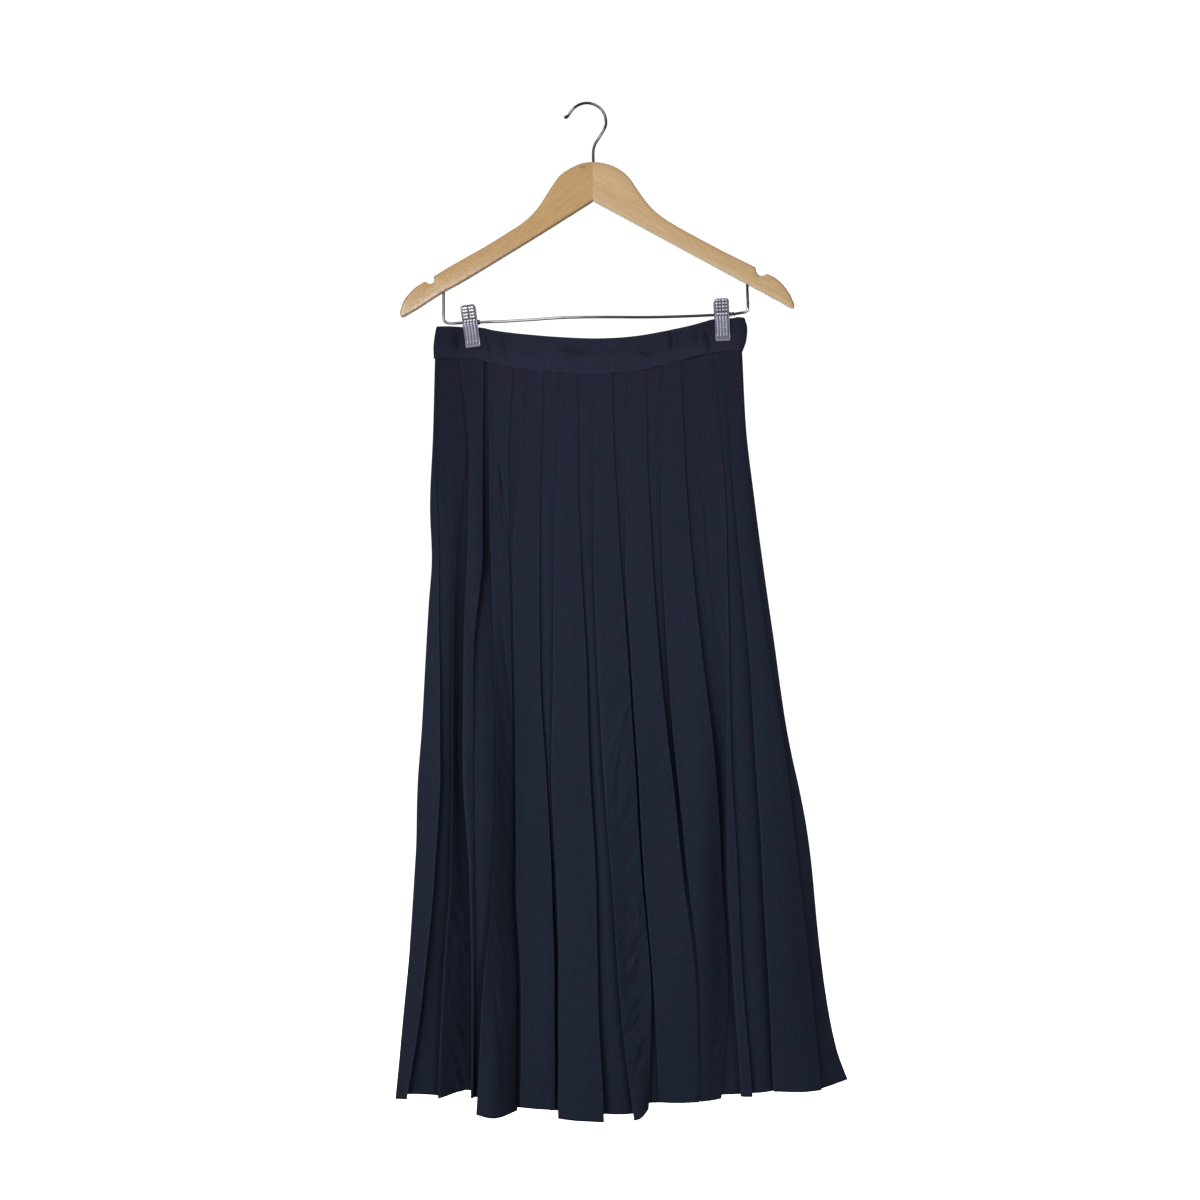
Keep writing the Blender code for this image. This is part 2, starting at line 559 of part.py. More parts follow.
def clip_plate(name, clip, side, mat):
    """One bent plate of a clip; side is -1 in front and 1 behind."""
    _n, tu, tv, fu, fv = clip
    top, foot = drawn(tu, tv), drawn(fu, fv)
    along = (foot - top).normalized()
    across = Vector((-along.z, 0.0, along.x))
    if across.x < 0:
        across = -across
    out = Vector((0.0, float(side), 0.0))
    mid = [(top + along * d, o) for _p, d, o in PLATE]
    # the plate's corners: narrower by a corner cut at the finger end
    half = [CLIP_W / 2 - (0.0016 if i == 0 else 0.0) for i in range(len(mid))]
    plan = [Vector((d, o)) for _p, d, o in PLATE]
    inner, outer = wall_offsets(plan, CLIP_T / 2)
    bm = bmesh.new()
    rings = []
    for i in range(len(plan)):
        ring = []
        for off, sgn in ((inner[i], -1), (inner[i], 1), (outer[i], 1),
                         (outer[i], -1)):
            p = top + along * off.x + out * off.y + across * (half[i] * sgn)
            ring.append(bm.verts.new(p))
        rings.append(ring)
    for a, b in zip(rings, rings[1:]):
        for k in range(4):
            bm.faces.new((a[k], a[(k + 1) % 4], b[(k + 1) % 4], b[k]))
    bm.faces.new(rings[0])
    bm.faces.new(rings[-1][::-1])
    bmesh.ops.recalc_face_normals(bm, faces=bm.faces)
    if bm.calc_volume(signed=True) < 0:
        bmesh.ops.reverse_faces(bm, faces=bm.faces)
    mesh = bpy.data.meshes.new(name)
    bm.to_mesh(mesh)
    bm.free()
    return put(name, mesh, mat, smooth=30)


def sleeve(name, start, end, bore, outside, mat, sides=16):
    """A round sleeve with a bore, between two points."""
    axis = (end - start)
    quat = axis.to_track_quat("Z", "Y")
    bm = bmesh.new()
    rings = []
    for z, r in ((0.0, outside / 2), (axis.length, outside / 2),
                 (axis.length, bore / 2), (0.0, bore / 2)):
        rings.append([bm.verts.new(
            start + quat @ Vector((r * math.cos(2 * math.pi * k / sides),
                                   r * math.sin(2 * math.pi * k / sides), z)))
            for k in range(sides)])
    for i in range(4):
        a, b = rings[i], rings[(i + 1) % 4]
        for k in range(sides):
            bm.faces.new((a[k], a[(k + 1) % sides], b[(k + 1) % sides], b[k]))
    bmesh.ops.recalc_face_normals(bm, faces=bm.faces)
    if bm.calc_volume(signed=True) < 0:
        bmesh.ops.reverse_faces(bm, faces=bm.faces)
    mesh = bpy.data.meshes.new(name)
    bm.to_mesh(mesh)
    bm.free()
    return put(name, mesh, mat, smooth=40)


# ------------------------------------------------------------------- build
def main():
    wipe()
    crepe = finish_material("crepe", (0.016, 0.019, 0.036), 0.85)
    band_cloth = finish_material("band_crepe", (0.018, 0.021, 0.038), 0.82)
    wood = finish_material("varnished_wood", (0.55, 0.36, 0.17), 0.42)
    chrome = finish_material("chrome_wire", (0.62, 0.62, 0.64), 0.2, 1.0)
    steel = finish_material("clip_steel", (0.58, 0.58, 0.62), 0.32, 1.0)

    stops = panel_stops()
    put("skirt_front",
        wall_mesh("skirt_front", [front_section(t) for t in stops], CLOTH),
        crepe)
    put("skirt_back",
        wall_mesh("skirt_back", [flip(back_section(t)) for t in stops],
                  CLOTH), crepe)
    band = [band_section(k) for k in range(len(BAND_DROP))]
    put("waistband_front", wall_mesh("waistband_front", band, BAND),
        band_cloth)
    put("waistband_back",
        wall_mesh("waistband_back", [flip(r) for r in band], BAND),
        band_cloth)

    left = outline_prism("hanger_arm_left", ARM_LEFT, WOOD_T, wood, WOOD_R)
    right = outline_prism("hanger_arm_right", ARM_RIGHT, WOOD_T, wood, WOOD_R)

    hook_pts = [drawn(u, v) for _p, u, v in HOOK]
    stem = hook_pts[0] + Vector((0.0, 0.0, -STEM_DEPTH))
    line = smooth_line(hook_pts, 0.0034)
    wire("hanger_hook", [stem] + line, HOOK_WIRE, chrome)
    for arm in (left, right):
        drill(arm, "cut_stem_" + arm.name, stem + Vector((0, 0, -0.0004)),
              hook_pts[0] + Vector((0, 0, 0.006)), HOOK_WIRE + 0.0007)

    bar_pts = [drawn(u, v) for _p, u, v in BAR]
    up_l = bar_pts[0] + Vector((0.0, 0.0, BAR_DEPTH))
    up_r = bar_pts[-1] + Vector((0.0, 0.0, BAR_DEPTH))
    line = [up_l] + smooth_line(bar_pts, 0.012) + [up_r]
    wire("hanger_bar", line, BAR_WIRE, chrome)
    drill(left, "cut_bar_l", up_l + Vector((0, 0, 0.0004)),
          bar_pts[0] - Vector((0, 0, 0.012)), BAR_WIRE + 0.0007)
    drill(right, "cut_bar_r", up_r + Vector((0, 0, 0.0004)),
          bar_pts[-1] - Vector((0, 0, 0.012)), BAR_WIRE + 0.0007)

    for clip in CLIPS:
        name, tu, tv, fu, fv = clip
        clip_plate(name + "_front", clip, -1, steel)
        clip_plate(name + "_back", clip, 1, steel)
        top, foot = drawn(tu, tv), drawn(fu, fv)
        pivot_u = tu + (fu - tu) * CLIP_PIVOT / CLIP_L
        vs = [row for row in BAR if abs(row[1] - pivot_u) < 26]
        pu = [row[1] for row in vs]
        pv = [row[2] for row in vs]
        a = pivot_u - SPRING_L / 2 / UNIT
        b = pivot_u + SPRING_L / 2 / UNIT
        sleeve(name + "_spring", drawn(a, curve_at(pu, pv, a)),
               drawn(b, curve_at(pu, pv, b)), BAR_WIRE + 0.0008,
               SPRING_D, steel)


main()
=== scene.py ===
# Looks of a long pleated skirt hung by two clips on a wooden hanger.
#
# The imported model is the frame. Cloth, wood, wire and clips are rebuilt here
# at a finer grain on the same sizes as the solids they stand for.

import bpy
import math
import numpy as np
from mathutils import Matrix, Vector, noise


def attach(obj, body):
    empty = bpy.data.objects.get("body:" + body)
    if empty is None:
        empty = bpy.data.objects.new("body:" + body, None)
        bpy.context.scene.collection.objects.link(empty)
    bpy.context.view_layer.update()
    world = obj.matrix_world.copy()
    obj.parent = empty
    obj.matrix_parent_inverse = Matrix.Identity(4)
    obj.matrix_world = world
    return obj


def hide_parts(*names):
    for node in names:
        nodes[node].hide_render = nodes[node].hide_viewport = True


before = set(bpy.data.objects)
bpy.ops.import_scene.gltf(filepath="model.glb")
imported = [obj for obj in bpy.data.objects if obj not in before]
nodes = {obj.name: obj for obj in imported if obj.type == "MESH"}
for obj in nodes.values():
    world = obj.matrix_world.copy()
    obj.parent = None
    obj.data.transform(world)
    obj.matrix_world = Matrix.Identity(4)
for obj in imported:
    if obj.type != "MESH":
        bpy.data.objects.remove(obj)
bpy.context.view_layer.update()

# ------------------------------------------------------------ named sizes
UNIT = 0.00112                   # metres for one drawing unit
EYE = 2.2                        # eye distance of the elevation
HOOK_U, HOOK_V = 588.0, 104.3    # the hook's seat on the elevation
MM = 0.001

CLOTH = 0.0009                   # thickness of the crepe
SEAM_LAP = 0.0003                # how far each side passes the seam plane
HEM_EXTRA = 0.0007               # the turned-up allowance inside the hem
HEM_DEEP = 0.028                 # height of that allowance
BAND = 0.0018                    # thickness of the waistband

HOOK_WIRE = 0.0031
BAR_WIRE = 0.0031
WOOD_T = 0.012
WOOD_R = 0.0030
CLIP_W = 0.0166
CLIP_L = 0.0470
CLIP_T = 0.0008
CLIP_PIVOT = 0.0205


# ---------------------------------------------------------------- drawing
def drawn(u, v, out=0.0):
    """World point of a drawn point that stands out millimetres in front."""
    near = 1.0 - out * MM / EYE
    x = ((u - 600.0) * near + 600.0 - HOOK_U) * UNIT
    z = -((v - 600.0) * near + 600.0 - HOOK_V) * UNIT
    return np.array((x, -out * MM, z))


def seen(p):
    """Drawing place (u, v) of world points, as arrays."""
    near = 1.0 + p[..., 1] / EYE
    u = (p[..., 0] / UNIT - (600.0 - HOOK_U)) / near + 600.0
    v = (-p[..., 2] / UNIT - (600.0 - HOOK_V)) / near + 600.0
    return u, v


def curve_at(stops, values, t):
    """Smooth value at t through values given at the stops (no overshoot)."""
    n = len(stops)
    if t <= stops[0]:
        return values[0]
    if t >= stops[-1]:
        return values[-1]
    d = [(values[i + 1] - values[i]) / (stops[i + 1] - stops[i])
         for i in range(n - 1)]
    m = [d[0]] + [0.0 if d[i - 1] * d[i] <= 0 else
                  2.0 * d[i - 1] * d[i] / (d[i - 1] + d[i])
                  for i in range(1, n - 1)] + [d[-1]]
    for i in range(n - 1):
        if t <= stops[i + 1]:
            h = stops[i + 1] - stops[i]
            s = (t - stops[i]) / h
            return (values[i] * (1 + 2 * s) * (1 - s) ** 2
                    + m[i] * h * s * (1 - s) ** 2
                    + values[i + 1] * s * s * (3 - 2 * s)
                    + m[i + 1] * h * s * s * (s - 1))
    return values[-1]


def smooth01(x):
    x = np.clip(x, 0.0, 1.0)
    return x * x * (3.0 - 2.0 * x)


# -------------------------------------------------------------- waistband
# A row for each station along the band: top and lower edge, and how far it
# stands out at the top, where the clips pinch it, and at the seam.
#        u     v_top  v_low  out_top out_low
WAIST = [
    (437.4, 326.6, 358.6, 2.4, 3.2),
    (441.0, 326.2, 358.4, 3.6, 4.2),
    (448.0, 326.2, 358.4, 3.8, 5.0),
    (455.0, 326.5, 358.5, 2.6, 5.0),
    (461.5, 326.9, 358.6, 1.0, 4.4),
    (471.0, 327.1, 359.2, 1.0, 4.2),
    (481.5, 327.6, 360.6, 1.0, 4.4),
    (492.0, 329.9, 363.0, 2.6, 5.2),
    (508.0, 332.3, 366.6, 4.8, 6.2),
    (528.0, 334.4, 370.0, 6.6, 7.0),
    (550.0, 336.3, 372.0, 8.4, 7.8),
    (572.0, 337.6, 373.4, 9.6, 8.2),
    (593.5, 338.3, 374.0, 10.0, 8.4),
    (615.0, 337.7, 373.0, 9.6, 8.2),
    (637.0, 335.7, 370.6, 8.4, 7.6),
    (656.0, 332.6, 366.8, 7.0, 7.0),
    (672.0, 329.4, 363.0, 5.6, 6.4),
    (690.0, 325.5, 357.7, 3.6, 5.6),
    (704.0, 321.6, 354.6, 2.2, 4.8),
    (713.0, 319.2, 352.9, 1.0, 4.4),
    (722.5, 318.6, 351.6, 1.0, 4.2),
    (732.5, 318.0, 350.9, 1.0, 4.2),
    (738.0, 316.9, 350.8, 2.0, 4.0),
    (743.0, 317.7, 351.2, 2.4, 3.2),
]
WAIST_US = [row[0] for row in WAIST]
WAIST_COLS = [[row[c] for row in WAIST] for c in range(5)]
END_DROPS = (0.0, 0.34, 0.68, 1.0)
END_LEFT_U = (437.2, 435.2, 434.2, 434.6)
END_RIGHT_U = (743.8, 746.6, 745.6, 742.0)


def waist_at(u, column):
    return curve_at(WAIST_US, WAIST_COLS[column], u)


# ------------------------------------------------------------ front panel
# One row for each fold, left to right. kind: R, a pleat edge facing right
# with the cloth tucked back under it; L, the same facing left; S, soft.
U_STOPS = (0.0, 0.12, 0.25, 0.40, 0.55, 0.70, 0.85, 1.0)
OUT_STOPS = (0.0, 0.25, 0.55, 0.80, 1.0)
FRONT = [
    # name      kind  waist  u.12   u.25   u.40   u.55   u.70   u.85   hem     hip mid calf hem   deep                          reach  v_hem   v_tuck
    ("side_l",   "R", 437.6, 435.6, 438.2, 440.0, 440.5, 435.0, 424.0, 407.0,   8, 16, 22, 27,   (0.3, 0.4, 0.8, 0.8, 0.8),     0.15, 1100.0, 1094.5),
    ("ridge_l",  "L", 455.5, 464.5, 455.0, 452.5, 452.0, 450.0, 443.0, 437.3,  10, 20, 28, 36,   (0.1, 0.5, 1.6, 1.7, 1.4),     0.00, 1098.8, 1095.4),
    ("valley_l", "S", 457.2, 467.6, 461.5, 458.0, 458.0, 463.0, 466.0, 464.5,   6,  5,  7,  9,    0.0,                          0.00, 1089.5, 1089.5),
    ("face_a",   "L", 458.7, 469.0, 466.8, 463.2, 462.4, 468.6, 471.5, 470.6,  11, 24, 25, 24,   (0.5, 0.9, 1.7, 1.5, 1.0),     0.30, 1097.5, 1090.5),
    ("edge_a",   "R", 485.0, 483.6, 483.4, 474.6, 473.6, 474.6, 475.8, 474.4,  14, 23, 22, 23,   (0.6, 1.4, 0.22, 0.18, 0.3),   1.00, 1098.0, 1097.0),
    ("crest",    "S", 486.4, 486.4, 487.0, 481.0, 481.5, 481.0, 484.0, 480.0,   5, 22, 24, 15,    0.0,                          0.00, 1097.0, 1097.0),
    ("face_b",   "L", 487.2, 488.6, 490.0, 493.8, 496.0, 492.0, 482.3, 476.0,  13, 31, 40, 46,   (0.5, 1.2, 1.6, 1.5, 1.0),     1.00, 1115.0, 1098.0),
    ("lobe_b",   "S", 498.0, 500.5, 505.0, 503.5, 505.0, 503.0, 497.0, 495.0,  12, 20, 29, 47,    0.0,                          0.00, 1119.6, 1119.6),
    ("edge_b",   "R", 513.4, 509.3, 509.5, 512.7, 514.1, 514.6, 519.2, 517.9,  12, 14, 12, 17,   (0.1, 0.3, 0.6, 0.35, 0.3),    1.00, 1110.5, 1107.6),
    ("face_c",   "L", 526.0, 520.0, 511.6, 513.6, 514.9, 515.6, 520.1, 519.2,  10, 19, 24, 28,   (0.1, 0.3, 0.5, 0.6, 0.6),     1.00, 1107.6, 1107.6),
    ("edge_c",   "R", 544.2, 542.0, 540.3, 541.0, 547.0, 552.6, 555.4, 555.8,  11, 22, 27, 31,   (0.1, 0.6, 1.1, 1.5, 0.8),     1.00, 1110.5, 1110.5),
    ("face_d",   "L", 557.5, 556.3, 553.6, 552.3, 550.8, 556.2, 558.0, 557.6,  12, 25, 33, 41,   (0.1, 0.4, 0.6, 0.9, 1.0),     1.00, 1119.0, 1110.5),
    ("edge_d",   "R", 578.3, 578.8, 581.0, 587.3, 591.0, 597.0, 599.5, 605.0,  13, 28, 37, 47,   (0.1, 0.7, 0.9, 0.8, 1.0),     1.00, 1122.6, 1114.0),
    ("face_e",   "L", 593.0, 593.0, 593.3, 597.2, 603.5, 612.0, 620.0, 633.5,  12, 26, 35, 45,   (0.1, 0.4, 0.6, 0.7, 1.0),     1.00, 1120.6, 1113.5),
    ("fall_e",   "S", 603.0, 605.0, 608.0, 612.5, 619.0, 626.0, 634.0, 642.0,  12, 23, 25, 42,    0.0,                          0.00, 1118.0, 1118.0),
    ("edge_e",   "R", 613.0, 615.2, 621.0, 628.8, 636.2, 643.0, 651.2, 649.0,  12, 22, 25, 30,   (0.5, 0.8, 0.9, 0.65, 0.4),    1.00, 1108.0, 1103.0),
    ("face_f",   "L", 625.3, 624.8, 624.4, 630.4, 637.6, 644.5, 652.9, 658.0,  11, 22, 25, 25,   (0.1, 0.5, 0.8, 0.7, 0.3),     1.00, 1102.8, 1102.8),
    ("edge_f",   "R", 646.8, 648.0, 652.5, 660.5, 672.0, 684.5, 697.3, 699.4,  13, 26, 30, 27,   (0.2, 0.8, 1.4, 0.25, 0.05),   1.00, 1102.4, 1101.6),
    ("face_g",   "L", 660.2, 660.0, 661.3, 667.0, 675.8, 687.6, 699.2, 701.4,  11, 22, 27, 26,   (0.1, 0.5, 1.0, 0.30, 0.05),   1.00, 1101.6, 1101.6),
    ("edge_g",   "R", 681.5, 685.0, 691.5, 702.6, 716.2, 722.6, 728.8, 722.0,  13, 28, 21, 22,   (0.2, 1.0, 1.1, 0.05, 0.05),    1.10, 1098.5, 1095.0),
    ("recess_g", "S", 693.7, 700.7, 706.5, 713.5, 719.5, 725.0, 731.8, 730.5,   9, 15, 19.3, 20.4,   0.0,                          0.00, 1094.6, 1094.6),
    ("ridge_h",  "L", 706.0, 715.0, 722.2, 726.0, 726.6, 727.4, 733.6, 740.2,  11, 25, 29, 31,   (0.1, 0.05, 0.1, 0.3, 0.6),    0.00, 1096.4, 1093.7),
    ("edge_h",   "R", 712.0, 721.5, 727.6, 729.6, 732.2, 738.3, 743.7, 753.0,  12, 25, 29, 32,   (0.2, 0.5, 0.5, 0.5, 0.5),     0.60, 1096.5, 1092.8),
    ("face_i",   "L", 725.3, 729.2, 737.2, 747.4, 754.8, 761.6, 767.5, 773.0,  10, 22, 28, 30,   (0.2, 0.6, 0.9, 1.0, 0.7),     1.00, 1091.6, 1090.4),
    ("swell_i",  "S", 734.0, 741.0, 751.0, 765.0, 778.0, 787.0, 795.0, 797.0,   9, 18, 23, 29,    0.0,                          0.00, 1092.6, 1092.6),
    ("side_r",   "R", 739.5, 745.5, 754.0, 768.3, 785.5, 799.0, 811.0, 821.7,   7, 14, 18, 23,   (0.1, 0.1, 0.4, 0.35, 0.4),    0.35, 1090.6, 1089.4),
]
#            waist  u.12   u.25   u.40   u.55   u.70   u.85   hem
SEAM_LEFT = [
    (0.00, 434.9), (0.10, 433.0), (0.20, 430.0), (0.27, 431.8),
    (0.33, 428.8), (0.40, 425.8), (0.50, 421.8), (0.57, 417.9),
    (0.60, 417.0), (0.65, 416.4), (0.70, 414.4), (0.80, 409.5),
    (0.90, 402.5), (0.95, 399.2), (1.00, 395.5),
]
SEAM_RIGHT = [
    (0.00, 742.2), (0.10, 745.8), (0.20, 754.2), (0.30, 763.8),
    (0.40, 774.2), (0.50, 784.4), (0.55, 791.0), (0.60, 799.0),
    (0.65, 806.0), (0.70, 811.0), (0.80, 818.0), (0.90, 827.6),
    (0.96, 836.8), (1.00, 847.3),
]
SEAM_LEFT_V, SEAM_RIGHT_V = 1098.0, 1078.6
TUCK_OUT = (2.0, 4.4, 7.5, 9.5, 11.5)
TUCK_U = (3.4, 3.4, 4.2, 5.0, 5.6)

# Where a face between two folds rounds forward, and how much (mm) at the
# hip, mid, calf and hem.
FACES = [
    # from       to          hip  mid  calf hem
    ("side_l",   "ridge_l",  0.4, -1.0, -1.6, -2.2),
    ("face_a",   "edge_a",   0.8, 1.6, 1.8, 1.0),
    ("face_b",   "edge_b",   0.6, 0.8, 1.2, 2.0),
    ("face_c",   "edge_c",   0.7, 1.4, 1.8, 2.4),
    ("face_d",   "edge_d",   0.7, 1.4, 2.0, 2.6),
    ("face_e",   "edge_e",   0.4, 0.8, 1.0, 1.2),
    ("face_f",   "edge_f",   0.7, 1.6, 2.2, 2.6),
    ("face_g",   "edge_g",   0.8, 1.6, 2.2, 1.6),
    ("ridge_h",  "edge_h",   0.2, 0.3, 0.4, 0.8),
    ("edge_h",   "face_i",   0.4, 0.8, 1.2, 1.4),
    ("face_i",   "side_r",   0.8, 1.6, 2.0, 2.2),
    ("edge_c",   "face_d",   1.4, 2.6, 2.0, 2.0),
    ("edge_d",   "face_e",   1.6, 3.0, 4.0, 3.0),
    ("edge_f",   "face_g",   1.4, 1.6, 0.0, 0.0),
    ("edge_h",   "face_i",   1.0, 1.6, 1.6, 1.0),
]

# Creases placed on the front: height in mm (a trough is negative),
# half width in drawing units, and the way each runs.
CREASES = [
    # name          mm    width  (u, v) ...
    ("left_a",     -0.9,  2.2, ((444.5, 436), (447, 480), (449, 531))),
    ("left_b",     -0.5,  1.4, ((457, 359), (462.7, 397), (467.5, 455), (467.5, 493))),
    ("left_c",      0.4,  1.8, ((469.5, 359), (472, 395), (472, 417))),
    ("left_d",     -0.5,  1.4, ((474, 370), (476, 398), (477, 426))),
    ("streak_a",   -0.8,  1.2, ((491, 436), (495.5, 455), (501, 483), (505.5, 508), (510, 530))),
    ("streak_b",   -0.7,  1.2, ((494, 422), (500.5, 475), (507, 523), (511, 570), (513, 611))),
    ("streak_c",   -0.7,  1.2, ((500, 445), (501, 493), (503, 522), (508.6, 550))),
    ("streak_d",   -0.6,  1.2, ((489, 470), (492.5, 510), (497, 560), (500, 600))),
    ("streak_e",    0.5,  1.4, ((497, 440), (503, 480), (508, 520))),
    ("streak_f",   -0.8,  1.4, ((499, 600), (504, 650), (509, 690), (512, 716))),
    ("left_f",     -0.5,  1.6, ((495, 400), (493, 420), (492.5, 440))),
    ("slant_a",     1.1,  1.3, ((496.5, 700), (503, 712), (512, 729))),
    ("slant_b",    -1.1,  1.5, ((497, 712), (504, 730), (513, 752))),
    ("slant_c",     0.8,  1.4, ((498, 745), (504, 764), (511, 790))),
    ("slant_d",    -0.6,  1.6, ((499, 640), (504, 662), (510, 690))),
    ("fall_a",      1.2,  1.5, ((629, 703), (621, 722), (613, 742), (608, 762))),
    ("fall_b",     -1.2,  1.9, ((630, 718), (623, 743), (617, 775), (618, 830))),
    ("fall_c",      0.8,  1.5, ((634, 772), (627, 790), (617, 806))),
    ("fall_d",     -0.7,  1.5, ((637, 795), (630, 812), (620, 828))),
    ("fall_e",      0.8,  1.3, ((618, 725), (624, 712), (630, 700))),
    ("recess_a",   -1.1,  1.3, ((694, 440), (700, 480), (705, 520), (708, 560), (714, 615), (718, 680))),
    ("recess_b",   -0.8,  1.3, ((712, 590), (716, 640), (722, 690), (726, 740))),
    ("ridge_f",     0.7,  1.2, ((603, 740), (606, 790), (608, 880))),
    ("crest_a",     1.2,  1.5, ((491, 600), (494.5, 690), (496, 778), (492, 878), (482, 990))),
    ("crest_b",    -1.0,  2.6, ((489, 600), (490, 700), (489.5, 800), (486, 900))),
    ("crumple_a",   0.9,  2.0, ((444, 1046), (450, 1058), (456, 1072), (459, 1094))),
    ("crumple_b",  -0.9,  2.2, ((447, 1038), (454, 1052), (461, 1066), (464, 1090))),
    ("crumple_c",   0.7,  2.2, ((447, 905), (452, 925), (457, 948), (455, 975))),
    ("crumple_d",  -0.7,  2.4, ((446, 960), (453, 985), (459, 1000))),
    ("crumple_e",   0.6,  2.0, ((440, 880), (447, 900), (452, 921))),
    ("lobe_a",     -1.2,  2.2, ((497.5, 1002), (502, 1046), (504.6, 1091))),
    ("lobe_b",      0.9,  2.0, ((496, 905), (499, 940), (506, 970))),
    ("lobe_c",     -0.8,  2.2, ((500, 930), (507, 955), (505, 985))),
    ("lobe_d",      0.8,  1.6, ((508, 940), (511, 962), (508, 985))),
    ("w_one",      -0.7,  2.6, ((537, 850), (543, 872), (549, 900))),
    ("w_two_a",    -0.6,  2.2, ((575, 1088), (585, 1076), (598, 1061))),
    ("w_two_b",     0.4,  3.0, ((566, 1060), (576, 1050), (590, 1046))),
    ("e_a",         1.0,  2.0, ((632, 905), (637, 912), (640, 930))),
    ("e_b",        -1.0,  2.4, ((634, 920), (639, 945), (642, 975))),
    ("e_c",         0.9,  2.0, ((626, 975), (632, 962), (637, 950))),
    ("e_d",        -0.8,  2.2, ((630, 985), (636, 972), (640, 960))),
    ("e_e",         1.0,  2.4, ((628, 1052), (638, 1044), (648, 1030))),
    ("e_f",        -1.0,  2.4, ((632, 1064), (640, 1058), (648, 1054))),
    ("e_g",         0.7,  2.2, ((614, 770), (619, 750), (627, 725))),
    ("e_h",        -0.7,  2.6, ((618, 830), (626, 815), (634, 800))),
    ("h_a",        -0.6,  2.4, ((712, 1060), (718, 1040), (722, 1020))),
    ("i_a",        -0.8,  2.4, ((776, 884), (784, 905), (794, 921))),
    ("i_b",         0.6,  2.6, ((772, 890), (780, 912), (788, 928))),
    ("i_c",        -0.5,  2.6, ((778, 1018), (792, 1024), (806, 1026))),
    ("i_d",         0.5,  2.6, ((780, 1006), (796, 1010), (808, 1016))),
    ("side_a",      0.8,  2.6, ((826, 990), (830, 1016), (836, 1040))),
    ("side_b",     -0.8,  2.4, ((822, 1000), (826, 1030), (829, 1056))),
    ("side_c",      0.7,  2.4, ((816, 930), (822, 948), (826, 975))),
    ("mid_a",       0.5,  5.0, ((676, 990), (682, 940), (687, 890))),
    ("mid_b",      -0.5,  5.0, ((530, 640), (531, 720), (533, 800))),
    ("mid_c",       0.5,  5.0, ((570, 560), (572, 650), (574, 740))),
    ("mid_d",      -0.5,  5.0, ((650, 700), (657, 780), (664, 860))),
    ("mid_e",       0.4,  4.0, ((690, 560), (698, 640), (704, 720))),
    ("mid_f",      -0.5,  4.0, ((770, 700), (778, 780), (782, 860))),
]

# Pressed ridges that catch the light, given a painted highlight: how much,
# half width, and the way each runs, in drawing units.
PRESSED_HIGHLIGHTS = [
    ("crest",    1.0,  0.9, ((491, 590), (494.3, 690), (496.2, 778), (492.4, 878), (482.8, 990), (478, 1060))),
    ("ridge_f",  0.7,  0.9, ((599, 640), (603.5, 740), (606.5, 800), (609, 880), (614, 960))),
    ("ridge_l",  0.6,  0.9, ((453, 600), (452.3, 780), (449, 880), (443, 990), (438, 1090))),
    ("face_a",   0.5,  1.2, ((464.5, 600), (464, 690), (464, 790), (468, 880), (471, 940))),
    ("strip",    0.5,  1.6, ((722, 690), (723.5, 760), (724.5, 843))),
    ("slant_a",  0.9,  0.9, ((496.5, 700), (503, 712), (512, 729))),
    ("slant_c",  0.6,  1.0, ((498, 745), (504, 764), (511, 790))),
    ("fall_a",   0.6,  1.2, ((629, 703), (621, 722), (613, 742), (608, 762))),
    ("fall_c",   0.5,  1.2, ((634, 772), (627, 790), (617, 806))),
    ("e_a",      0.8,  1.0, ((631, 903), (636, 912), (640, 930))),
    ("e_c",      0.6,  1.1, ((626, 975), (632, 962), (637, 950))),
    ("left_a",   0.9,  1.1, ((450, 912), (454, 935), (457, 960), (452, 985), (447, 1012), (446, 1035))),
    ("left_b",   1.0,  1.2, ((444, 1042), (449, 1056), (455, 1070), (458, 1094))),
    ("left_c",   0.8,  1.1, ((452, 1034), (459, 1050), (466, 1062))),
    ("left_d",   0.6,  1.0, ((455, 873), (460, 900), (463, 930))),
    ("lobe_a",   0.5,  1.1, ((496, 930), (499, 965), (498, 1000), (501, 1050))),
    ("side_r",   0.4,  1.2, ((822, 975), (830, 1010), (838, 1045))),
]

